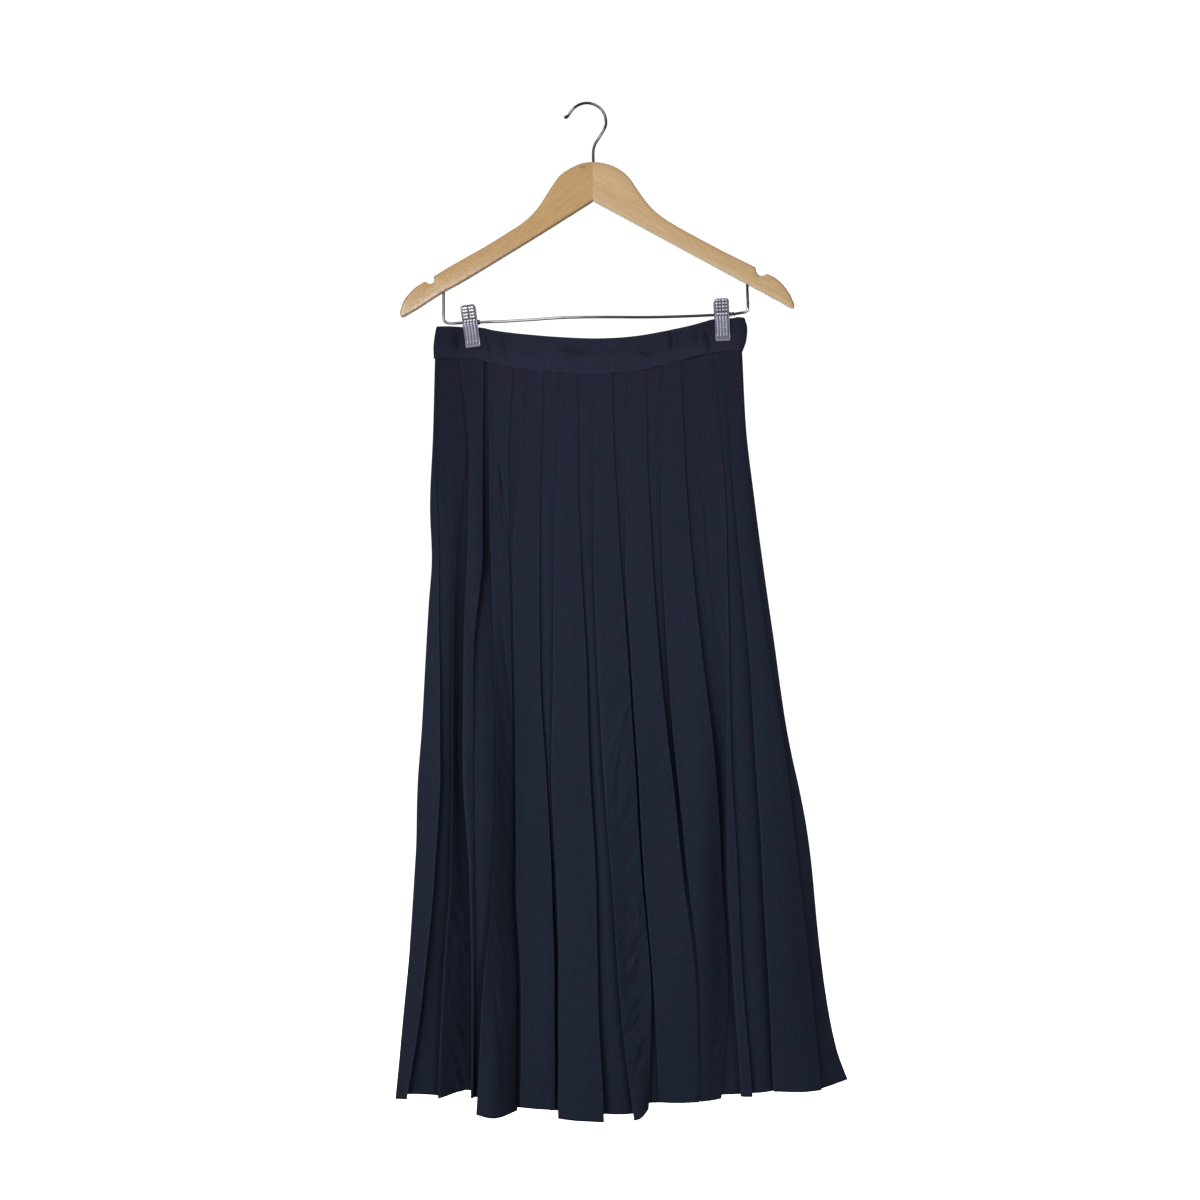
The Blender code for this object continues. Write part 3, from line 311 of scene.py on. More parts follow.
# Where the cloth is crumpled: middle and half size in drawing units, the
# height of the crumples in mm, the way they lean in degrees from upright,
# and their length and width in drawing units.
CRUMPLED = [
    # name           u      v    half_u half_v  mm   lean  long  wide
    ("left_face",   458.5,  990.0, 11.5, 110.0, 4.4, -26.0, 30.0, 7.0),
    ("left_fine",   459.0,  990.0, 11.0, 110.0, 1.8, -40.0, 15.0, 4.5),
    ("left_valley", 458.0,  760.0,  8.0,  90.0, 1.2, -20.0, 30.0, 5.0),
    ("recess_b",    504.0,  800.0,  8.0, 150.0, 2.0, -24.0, 26.0, 5.5),
    ("lobe",        500.0, 1000.0, 18.0,  90.0, 2.3, -16.0, 34.0, 7.5),
    ("fall_e",      623.0,  780.0, 11.0,  75.0, 1.7,  34.0, 24.0, 7.0),
    ("fall_low",    633.0,  980.0, 13.0, 110.0, 3.2,  26.0, 28.0, 7.0),
    ("fall_fine",   633.0,  985.0, 12.0, 100.0, 1.5,  42.0, 13.0, 4.2),
    ("w_one",       538.0,  880.0, 12.0, 120.0, 0.8, -14.0, 40.0, 8.0),
    ("w_two",       588.0, 1075.0, 22.0,  45.0, 1.3,  58.0, 34.0, 10.0),
    ("w_three",     574.0,  880.0, 18.0, 160.0, 0.6, -10.0, 46.0, 10.0),
    ("w_four",      668.0,  900.0, 14.0, 150.0, 0.6,  12.0, 46.0, 9.0),
    ("w_five",      712.0,  930.0, 10.0, 130.0, 0.9,   8.0, 40.0, 7.0),
    ("side_low",    792.0,  980.0, 28.0, 110.0, 1.7, -34.0, 34.0, 10.0),
    ("side_top",    765.0,  700.0, 20.0, 130.0, 0.7, -16.0, 50.0, 11.0),
    ("left_side",   428.0,  900.0, 16.0, 190.0, 0.8,   6.0, 60.0, 9.0),
    ("hem_left",    444.0, 1070.0, 30.0,  30.0, 1.4, -30.0, 26.0, 8.0),
    ("hem_right",   760.0, 1065.0, 80.0,  34.0, 1.1,  38.0, 26.0, 10.0),
    ("hip",         560.0,  470.0, 90.0,  90.0, 0.5,   0.0, 60.0, 9.0),
]
BACK_CRUMPLED = [
    ("back_a",      478.0,  980.0, 17.0, 100.0, 2.6, -24.0, 30.0, 7.0),
    ("back_b",      572.0,  900.0, 15.0, 120.0, 1.8,  20.0, 36.0, 8.0),
    ("back_c",      650.0,  780.0, 13.0, 110.0, 1.6, -28.0, 30.0, 7.0),
    ("back_d",      717.0,  960.0, 15.0, 120.0, 2.4,  26.0, 28.0, 7.0),
    ("back_e",      804.0,  980.0, 14.0, 100.0, 1.8, -18.0, 36.0, 10.0),
    ("back_f",      526.0,  640.0, 12.0, 120.0, 1.2,  14.0, 44.0, 8.0),
    ("back_hip",    590.0,  470.0, 110.0, 90.0, 0.5,  0.0, 60.0, 9.0),
]

# Painted shade: where the navy is painted a shade darker, and by how much
# of one: along the side seams, most of all near the waist, toward the hem,
# and in a few deep valleys.
SHADE_PATCHES = [
    # name        u      v    half_u half_v  share
    ("left_top",  430.0,  340.0, 56.0, 200.0, 0.37),
    ("left_low",  412.0,  980.0, 70.0, 190.0, 0.12),
    ("right_top", 755.0,  370.0, 70.0, 210.0, 0.18),
    ("right_low", 835.0,  960.0, 80.0, 230.0, 0.22),
    ("hem",       620.0, 1150.0, 330.0, 150.0, 0.14),
    ("w_four",    640.0,  860.0, 22.0, 190.0, 0.10),
    ("w_five",    715.0,  900.0, 12.5, 180.0, 0.44),
    ("w_low",     700.0, 1020.0, 34.0, 100.0, 0.08),
    ("lobe",      510.0,  880.0, 13.0, 260.0, 0.16),
    ("left_face", 457.0,  980.0, 12.0, 130.0, 0.12),
    ("valley",    457.0,  600.0,  9.0, 140.0, 0.34),
    ("crest_gap", 485.0,  530.0,  6.0, 110.0, 0.34),
]

# ------------------------------------------------------------- back panel
BACK = [
    # name   left_w right_w left_m right_m left_h right_h  swell  v_hem   v_side
    ("back_1", 446.0, 465.0, 440.0, 464.0, 416.0, 452.0,   0.80, 1100.0, 1095.0),
    ("back_2", 479.0, 499.0, 476.0, 506.0, 458.0, 498.0,   1.06, 1108.0, 1101.0),
    ("back_3", 512.5, 533.0, 515.0, 544.0, 506.0, 545.0,   0.90, 1110.0, 1105.0),
    ("back_4", 546.0, 567.0, 554.0, 584.0, 556.0, 594.0,   1.10, 1117.0, 1109.0),
    ("back_5", 580.0, 600.0, 592.0, 622.0, 603.0, 644.0,   0.94, 1114.0, 1107.0),
    ("back_6", 613.5, 634.0, 633.0, 662.0, 657.0, 690.0,   1.08, 1111.0, 1104.0),
    ("back_7", 647.0, 667.5, 671.0, 702.0, 700.0, 741.0,   0.92, 1104.0, 1099.0),
    ("back_8", 680.5, 700.0, 711.0, 739.0, 751.0, 786.0,   1.02, 1098.0, 1092.0),
    ("back_9", 713.0, 730.0, 749.0, 775.0, 794.0, 828.0,   0.72, 1090.0, 1085.0),
]
BACK_OUT = (0.0, 13.0, 25.0, 34.0, 42.0)
BACK_IN = (0.0, 9.0, 16.0, 20.0, 23.0)
BACK_BULGE = (0.6, 1.2, 1.8, 2.2)

# Creases on the back, in the same drawing units as seen from the front.
BACK_CREASES = [
    ("back_a",  1.3, 2.4, ((452, 700), (448, 800), (441, 900))),
    ("back_b", -1.4, 2.2, ((488, 930), (483, 985), (478, 1050))),
    ("back_c",  1.3, 2.2, ((527, 1000), (520, 1040), (526, 1085))),
    ("back_d", -1.3, 2.4, ((566, 820), (572, 870), (570, 930))),
    ("back_e",  1.4, 2.0, ((600, 1020), (610, 1045), (616, 1085))),
    ("back_f", -1.3, 2.4, ((650, 760), (655, 820), (661, 900))),
    ("back_g",  1.3, 2.2, ((688, 940), (700, 965), (706, 1000))),
    ("back_h", -1.4, 2.4, ((716, 1030), (726, 1050), (730, 1080))),
    ("back_i",  1.3, 2.4, ((756, 860), (764, 910), (768, 960))),
    ("back_j", -1.1, 2.2, ((806, 1010), (810, 1040), (812, 1070))),
    ("back_k", -1.0, 2.0, ((520, 420), (522, 470), (521, 540))),
    ("back_l",  1.0, 2.0, ((655, 400), (658, 450), (663, 520))),
    ("back_m",  0.8, 5.0, ((590, 560), (594, 640), (600, 740))),
]


# ---------------------------------------------------------- cloth sections
def waist_low(u):
    """Height of the band's lower edge at u."""
    return drawn(u, waist_at(u, 2), waist_at(u, 4))[2]


def hang(u_top, v_hem, out_hem, t):
    top = waist_low(u_top) - 0.0002
    return top + (drawn(u_top, v_hem, out_hem)[2] - top) * t


def seam_points(side, t, gap):
    line, v_hem = ((SEAM_LEFT, SEAM_LEFT_V) if side < 0
                   else (SEAM_RIGHT, SEAM_RIGHT_V))
    us = [row[1] for row in line]
    u = curve_at([row[0] for row in line], us, t)
    turn = curve_at(OUT_STOPS, (1.9, 2.6, 3.6, 4.4, 5.0), t)
    on = drawn(u, 600.0)
    on[2] = hang(us[0], v_hem, 0.0, t)
    on[1] = -gap / 2
    off = on.copy()
    off[1] = -turn * MM
    return on, off


# How round each kind of corner is, in metres.
ROUND_EDGE, ROUND_TUCK, ROUND_SOFT = 0.0014, 0.0017, 1.0


def front_section(t):
    """Corner points of the front panel at t, and how round each is."""
    on, off = seam_points(-1, t, -2 * SEAM_LAP)
    pts, rounds = [on, off], [0.0, 0.003]
    for row in FRONT:
        name, kind = row[0], row[1]
        u = curve_at(U_STOPS, row[2:10], t)
        # no fold runs dead true: it wanders, and its gap opens and shuts
        u += 0.9 * noise.noise(Vector((t * 9.0, row[2] * 0.045, 3.3))) * (
            smooth01(t / 0.2))
        lift = -1.6 if name in ("recess_g", "crest") else 0.6
        outs = (waist_at(row[2], 4) + lift,) + tuple(row[10:14])
        out = curve_at(OUT_STOPS, outs, t)
        deep, reach, v_hem, v_tuck = row[14:18]
        edge = drawn(u, 600.0, out)
        edge[2] = hang(row[2], v_hem, outs[-1], t)
        if kind == "S":
            pts.append(edge)
            rounds.append(ROUND_SOFT)
            continue
        deep = curve_at(OUT_STOPS, deep, t)
        step = curve_at(OUT_STOPS, TUCK_OUT, t) * deep
        run = curve_at(OUT_STOPS, TUCK_U, t) * reach
        run *= min(1.0, 0.15 + deep)
        sign = -1.0 if kind == "R" else 1.0
        tuck = drawn(u + sign * run, 600.0, out - step)
        tuck[2] = hang(row[2] + sign * TUCK_U[0] * reach, v_tuck,
                       outs[-1] - TUCK_OUT[-1] * row[14][-1], t)
        if kind == "R":
            pts += [edge, tuck]
            rounds += [ROUND_EDGE, ROUND_TUCK]
        else:
            pts += [tuck, edge]
            rounds += [ROUND_TUCK, ROUND_EDGE]
    on, off = seam_points(1, t, -2 * SEAM_LAP)
    pts += [off, on]
    rounds += [0.003, 0.0]
    return pts, rounds


def back_section(t):
    """Corner points of the back panel, drawn as if it faced the front."""
    on, off = seam_points(-1, t, -2 * SEAM_LAP)
    pts, rounds = [on, off], [0.0, 0.003]
    for row in BACK:
        lw, rw, lm, rm, lh, rh, swell, v_hem, v_side = row[1:]
        face = curve_at(OUT_STOPS, BACK_OUT, t) * (1 + (swell - 1) * t)
        inner = curve_at(OUT_STOPS, BACK_IN, t) * (1 + (swell - 1) * t * 0.6)
        near = max(0.0, 1.0 - t / 0.25)
        for which, us, sign in (("L", (lw, lm, lh), 1.0),
                                ("R", (rw, rm, rh), -1.0)):
            u = curve_at((0.0, 0.5, 1.0), us, t)
            low = waist_at(us[0], 4)
            run = curve_at(OUT_STOPS, TUCK_U, t) * 0.8
            edge = drawn(u, 600.0, face + (low + 0.6) * near)
            edge[2] = hang(us[0], v_hem, BACK_OUT[-1] * swell, t)
            tuck = drawn(u + sign * run, 600.0, inner + (low - 1.8) * near)
            tuck[2] = hang(us[0] + sign * TUCK_U[0] * 0.8, v_side,
                           BACK_IN[-1] * swell, t)
            if which == "L":
                pts += [tuck, edge]
                rounds += [ROUND_TUCK, ROUND_EDGE]
            else:
                pts += [edge, tuck]
                rounds += [ROUND_EDGE, ROUND_TUCK]
    on, off = seam_points(1, t, -2 * SEAM_LAP)
    pts += [off, on]
    rounds += [0.003, 0.0]
    return pts, rounds


def rounded_rows(sections, columns):
    """Rows of points along rounded sections, the same count in each row."""
    P = np.array([s[0] for s in sections])            # rows, corners, 3
    R = np.array(sections[0][1])
    nr, nc, _ = P.shape
    seg = P[:, 1:] - P[:, :-1]
    length = np.linalg.norm(seg, axis=2)
    # how far back along each side a corner's rounding starts
    back = np.zeros((nr, nc))
    ahead = np.zeros((nr, nc))
    for j in range(1, nc - 1):
        back[:, j] = np.minimum(0.5 if R[j] >= 1 else 0.45,
                                R[j] / np.maximum(length[:, j - 1], 1e-6))
        ahead[:, j] = np.minimum(0.5 if R[j] >= 1 else 0.45,
                                 R[j] / np.maximum(length[:, j], 1e-6))
    half = 7
    dense = []                                         # one list per span
    for j in range(nc - 1):
        a, b = P[:, j], P[:, j + 1]
        pa = a + seg[:, j] * ahead[:, j, None]
        pb = b - seg[:, j] * back[:, j + 1, None]
        line = []
        if j == 0:
            line += [a]
        else:
            prev = a - seg[:, j - 1] * back[:, j, None]
            for k in range(half):
                s = 0.5 + 0.5 * k / half
                line.append(prev * (1 - s) ** 2 + a * 2 * s * (1 - s)
                            + pa * s * s)
        for k in range(5):
            line.append(pa + (pb - pa) * (k / 4))
        if j == nc - 2:
            line.append(b)
        else:
            nxt = b + seg[:, j + 1] * ahead[:, j + 1, None]
            for k in range(1, half + 1):
                s = 0.5 * k / half
                line.append(pb * (1 - s) ** 2 + b * 2 * s * (1 - s)
                            + nxt * s * s)
        dense.append(np.array(line).transpose(1, 0, 2))   # rows, k, 3
    # share the columns out by the spans' lengths
    want = np.array([np.linalg.norm(np.diff(d, axis=1), axis=2).sum(1).mean()
                     for d in dense])
    # the walls that run back under an edge need fewer columns
    for j in range(nc - 1):
        if {R[j], R[j + 1]} == {ROUND_EDGE, ROUND_TUCK}:
            want[j] *= 0.5
    least = 4
    share = want / want.sum() * (columns - least * len(dense))
    counts = [least + int(round(s)) for s in share]
    rows = []
    for d, n in zip(dense, counts):
        step = np.linalg.norm(np.diff(d, axis=1), axis=2)
        cum = np.concatenate([np.zeros((nr, 1)), np.cumsum(step, axis=1)], 1)
        total = np.maximum(cum[:, -1:], 1e-9)
        cum = cum / total
        f = np.arange(n) / n
        f = f - 0.55 * np.sin(2 * np.pi * f) / (2 * np.pi)
        block = np.empty((nr, n, 3))
        for i in range(nr):
            for c in range(3):
                block[i, :, c] = np.interp(f, cum[i], d[i, :, c])
        rows.append(block)
    rows.append(dense[-1][:, -1:, :])
    return np.concatenate(rows, axis=1)


def crease_lift(u, v, creases):
    """How far creases lift the cloth, in metres, at drawing places."""
    lift = np.zeros_like(u)
    for _name, height, width, line in creases:
        best = np.full(u.shape, 1e9)
        along = np.zeros_like(u)
        pts = np.array(line, float)
        seg_len = np.linalg.norm(np.diff(pts, axis=0), axis=1)
        total = seg_len.sum()
        done = 0.0
        for (a, b), n in zip(zip(pts[:-1], pts[1:]), seg_len):
            d = b - a
            s = np.clip(((u - a[0]) * d[0] + (v - a[1]) * d[1]) / (n * n),
                        0, 1)
            dist = np.hypot(u - a[0] - d[0] * s, v - a[1] - d[1] * s)
            near = dist < best
            best = np.where(near, dist, best)
            along = np.where(near, (done + s * n) / total, along)
            done += n
        fade = np.sin(np.pi * np.clip(along, 0.04, 0.96)) ** 0.7
        lift += 1.5 * height * MM * fade * np.exp(-(best / width) ** 2)
    return lift


def painted_highlight_amount(u, v, lines):
    """How strong the painted highlight is along the pressed ridges, 0 to 1."""
    ridge_highlight = np.zeros_like(u)
    for _name, amount, width, line in lines:
        one = crease_lift(u, v, [("", 1.0, width, line)]) / (1.5 * MM)
        ridge_highlight = np.maximum(ridge_highlight, amount * one)
    return ridge_highlight


def crumple_lift(u, v, zones, seed):
    """Crumpled places: how far they lift, and how crumpled, 0 to 1."""
    lift = np.zeros_like(u)
    amount = np.zeros_like(u)
    for k, (_name, cu, cv, hu, hv, height, lean, long, wide) in enumerate(
            zones):
        du, dv = u - cu, v - cv
        mask = np.exp(-(du / hu) ** 2 - np.abs(dv / hv) ** 2.6)
        a = math.radians(lean)
        across = (du * math.cos(a) + dv * math.sin(a)) / wide
        along = (dv * math.cos(a) - du * math.sin(a)) / long
        rise = np.zeros_like(u)
        for i, j in np.argwhere(mask > 0.03):
            n = noise.noise(Vector((across[i, j], along[i, j],
                                    seed + 3.7 * k)))
            m = noise.noise(Vector((across[i, j] * 2.3, along[i, j] * 1.9,
                                    seed + 9.1 + 3.7 * k)))
            rise[i, j] = 0.35 - 1.6 * abs(n) + 0.5 * m
        lift += height * MM * mask * rise
        amount = np.maximum(amount, mask * min(1.0, height / 2.0))
    return lift, amount


def painted_shade_share(u, v):
    """How much painted shade darkens the navy at a place, as a share."""
    keep = np.ones_like(u)
    for _name, cu, cv, hu, hv, share in SHADE_PATCHES:
        keep *= 1 - share * np.exp(-((u - cu) / hu) ** 2
                                   - ((v - cv) / hv) ** 2)
    return 1 - keep


def ripple(points, scale, seed):
    """Smooth noise at world points; scale is 1/metre for x, y and z."""
    out = np.empty(points.shape[:-1])
    flat = points.reshape(-1, 3)
    res = out.reshape(-1)
    sx, sy, sz = scale
    for i, p in enumerate(flat):
        res[i] = noise.noise(Vector((p[0] * sx + seed, p[1] * sy - seed,
                                     p[2] * sz + seed * 0.5)))
    return out


def grid_normals(g):
    du = np.gradient(g, axis=1)
    dv = np.gradient(g, axis=0)
    n = np.cross(du, dv)
    return n / np.maximum(np.linalg.norm(n, axis=2, keepdims=True), 1e-12)


def mesh_from(name, verts, faces, uvs=None, mat=None, smooth=True):
    mesh = bpy.data.meshes.new(name)
    mesh.from_pydata([tuple(v) for v in verts], [], faces)
    if uvs is not None:
        layer = mesh.uv_layers.new(name="UVMap")
        uv = np.asarray(uvs, dtype=np.float32)
        idx = np.empty(len(mesh.loops), dtype=np.int32)
        mesh.loops.foreach_get("vertex_index", idx)
        layer.data.foreach_set("uv", uv[idx].ravel())
    if smooth:
        mesh.shade_smooth()
    if mat is not None:
        mesh.materials.append(mat)
    ob = bpy.data.objects.new(name, mesh)
    bpy.context.scene.collection.objects.link(ob)
    return ob


def fold_highlight_and_shade(g):
    """Two grids from 0 to 1: a painted highlight on pressed edges, and painted shade by how deep in a fold."""
    step = np.linalg.norm(np.diff(g, axis=1), axis=2)
    ds = np.maximum((step[:, :-1] + step[:, 1:]) / 2, 1e-5)
    bend = g[:, 2:] + g[:, :-2] - 2 * g[:, 1:-1]
    n = grid_normals(g)
    if n[..., 1].sum() > 0:
        n = -n
    turn = np.zeros(g.shape[:2])
    turn[:, 1:-1] = -(bend * n[:, 1:-1]).sum(2) / ds ** 2
    soft = turn.copy()
    soft[:, 1:-1] = (turn[:, :-2] + 2 * turn[:, 1:-1] + turn[:, 2:]) / 4
    soft[1:-1] = (soft[:-2] + 2 * soft[1:-1] + soft[2:]) / 4
    ridge_highlight = smooth01(soft / 420.0)
    crease = smooth01(-soft / 520.0)
    # how far each point lies behind the cloth just beside it
    depth = np.zeros(g.shape[:2])
    bins = np.arange(-0.26, 0.34, 0.0015)
    for i in range(g.shape[0]):
        x, out = g[i, :, 0], -g[i, :, 1]
        k = np.clip(np.digitize(x, bins) - 1, 0, len(bins) - 1)
        top = np.full(len(bins), -1.0)
        np.maximum.at(top, k, out)
        wide = top.copy()
        for m in range(1, 4):
            wide[m:] = np.maximum(wide[m:], top[:-m])
            wide[:-m] = np.maximum(wide[:-m], top[m:])
        smooth = np.convolve(wide, np.ones(5) / 5, "same")
        level = np.interp(x, bins + 0.00075, np.minimum(smooth, wide))
        depth[i] = np.maximum(level - out, 0)
    for _ in range(2):
        depth[1:-1] = (depth[:-2] + depth[1:-1] + depth[2:]) / 3
    depth[:, 1:-1] = (depth[:, :-2] + 2 * depth[:, 1:-1]
                      + depth[:, 2:]) / 4
    deep = smooth01((depth - 0.0012) / 0.0100)
    grow = np.linspace(0, 1, g.shape[0])[:, None]
    deep = deep * smooth01(grow / 0.1)
    return ridge_highlight, np.clip(0.45 * crease + deep, 0, 1)


def shell(name, outer, thickness, uv, mat, toward, marks):
    """A thin closed sheet: a fine outer grid and a coarser inner one."""
    nr, nc, _ = outer.shape
    n = grid_normals(outer)
    if (n * np.asarray(toward)).sum() < 0:
        n = -n
    rows_in = [0, 1, 2, 3] + list(range(4, nr - 12, 4)) + list(
        range(nr - 12, nr))
    cols_in = list(range(0, nc - 1, 2)) + [nc - 1]
    full = outer - n * thickness[..., None]
    pick = np.ix_(rows_in, cols_in)
    inner = full[pick]
    verts = np.concatenate([outer.reshape(-1, 3), inner.reshape(-1, 3)])
    uvs = np.concatenate([uv.reshape(-1, 2), uv[pick].reshape(-1, 2)])
    N = nr * nc
    mr, mc = len(rows_in), len(cols_in)

    def quads(r, c, base, flip):
        i, j = np.meshgrid(np.arange(r - 1), np.arange(c - 1), indexing="ij")
        a = (i * c + j).ravel() + base
        order = [a, a + 1, a + c + 1, a + c]
        if flip:
            order = order[::-1]
        return np.stack(order, 1).tolist()

    mi, mj = nr // 2, nc // 2
    side = np.cross(outer[mi, mj + 1] - outer[mi, mj],
                    outer[mi + 1, mj] - outer[mi, mj])
    flip = bool(np.dot(side, n[mi, mj]) < 0)
    faces = quads(nr, nc, 0, flip) + quads(mr, mc, N, not flip)

    def rim(outer_line, inner_line, stops, turn):
        for k in range(len(stops) - 1):
            f = outer_line[stops[k]:stops[k + 1] + 1]
            f = f + [inner_line[k + 1], inner_line[k]]
            faces.append(f[::-1] if turn else f)

    rim(list(range(nc)), [N + k for k in range(mc)], cols_in, not flip)
    rim([(nr - 1) * nc + k for k in range(nc)],
        [N + (mr - 1) * mc + k for k in range(mc)], cols_in, flip)
    rim([k * nc for k in range(nr)], [N + k * mc for k in range(mr)],
        rows_in, flip)
    rim([k * nc + nc - 1 for k in range(nr)],
        [N + k * mc + mc - 1 for k in range(mr)], rows_in, not flip)
    ob = mesh_from(name, verts, faces, uvs, mat)
    for label, grid in zip(("ridge_highlight", "fold_shade", "creased", "painted_shade"), marks):
        layer = ob.data.attributes.new(label, "FLOAT", "POINT")
        values = np.zeros(len(verts), dtype=np.float32)
        values[:N] = grid.ravel()
        layer.data.foreach_set("value", values)
    return ob


def panel_stops(rows):
    """Stations down a panel, closer together near the waist and the hem."""
    s = np.arange(rows + 1) / rows
    t = s - 0.035 * np.sin(2 * np.pi * s)
    return np.concatenate([[0.0, 0.0, 0.0015, 0.003], t[1:]])


def make_panel(name, section, rows, columns, faces, creases, crumpled,
               mirror, seed):
    stops = panel_stops(rows)
    sections = [section(float(t)) for t in stops]
    g = rounded_rows(sections, columns)
    T = np.repeat(stops[:, None], g.shape[1], 1)
    u, v = seen(g)
    lift = np.zeros_like(u)
    # faces round forward between their folds
    for left, right, amounts in faces:
        for i, t in enumerate(stops):
            a, b = left(t), right(t)
            s = (u[i] - a) / max(b - a, 1e-6)
            amount = curve_at(OUT_STOPS, (0.0,) + tuple(amounts), float(t))
            on = (s > 0) & (s < 1)
            lift[i] += np.where(on, amount * MM * (1 - (2 * s - 1) ** 2), 0)
    lift += crease_lift(u, v, creases)
    rise, creased = crumple_lift(u, v, crumpled, seed)
    lift += rise
    grow = smooth01(T / 0.25)
    soft = ripple(g, (22.0, 10.0, 4.0), seed) * 0.8
    soft += ripple(g, (70.0, 20.0, 9.0), seed + 7.3) * 0.40
    soft += ripple(g, (150.0, 40.0, 22.0), seed + 3.1) * 0.16
    soft += ripple(g, (90.0, 30.0, 70.0), seed + 5.7) * 0.16
    lift += soft * MM * (0.25 + 0.75 * grow)
    # the two sides are sewn together at their first and last columns
    run = np.concatenate([np.zeros((g.shape[0], 1)), np.cumsum(
        np.linalg.norm(np.diff(g, axis=1), axis=2), axis=1)], 1)
    near = np.minimum(run, run[:, -1:] - run)
    lift *= smooth01(near / 0.009)
    g[..., 1] -= lift * (0.3 + 0.7 * smooth01(T / 0.05))
    # the top edge is caught under the band
    g[0, :, 1] += 0.0012
    g[0, :, 2] += 0.0030
    g[1, :, 1] += 0.0002
    g[1, :, 2] += 0.0004
    # nothing but the seam itself crosses the seam plane
    g[..., 1] = np.minimum(g[..., 1], np.where(near < 0.0012, SEAM_LAP,
                                               -0.00012))
    # a hem never hangs dead level
    wave = ripple(g[-1:], (34.0, 30.0, 0.0), seed + 11.0)[0] * 0.0009
    g[..., 2] += wave[None, :] * smooth01((T - 0.5) / 0.5)
    low = g[-1, :, 2]
    above = g[..., 2] - low[None, :]
    thick = CLOTH + HEM_EXTRA * smooth01((HEM_DEEP - above) / 0.0015)
    # painted highlight on the fold edges and pressed ridges; painted shade in creases, deep folds and the
    # shade patches
    ridge_highlight, fold_shade = fold_highlight_and_shade(g)
    if not mirror:
        ridge_highlight = np.clip(ridge_highlight * 0.6 + painted_highlight_amount(u, v, PRESSED_HIGHLIGHTS), 0, 1)
    marks = (ridge_highlight, fold_shade, creased, painted_shade_share(u, v))
    mid = g[g.shape[0] * 2 // 3]
    arc = np.concatenate([[0], np.cumsum(np.linalg.norm(
        np.diff(mid, axis=0), axis=1))])
    uv = np.stack([np.repeat(arc[None, :], g.shape[0], 0), above], 2)
    if mirror:
        g[..., 1] *= -1
        toward = (0, 1, 0)
    else:
        toward = (0, -1, 0)
    return g, thick, uv, toward, marks


def fold_line(name):
    row = next(r for r in FRONT if r[0] == name)
    us = row[2:10]
    return lambda t: curve_at(U_STOPS, us, float(t))


def back_line(which, us):
    return lambda t: curve_at((0.0, 0.5, 1.0), us, float(t))


# --------------------------------------------------------------- materials
def new_material(name):
    mat = bpy.data.materials.new(name)
    mat.use_nodes = True
    tree = mat.node_tree
    return mat, tree, tree.nodes["Principled BSDF"]


def node(tree, kind, **sockets):
    n = tree.nodes.new(kind)
    for key, value in sockets.items():
        n.inputs[key].default_value = value
    return n


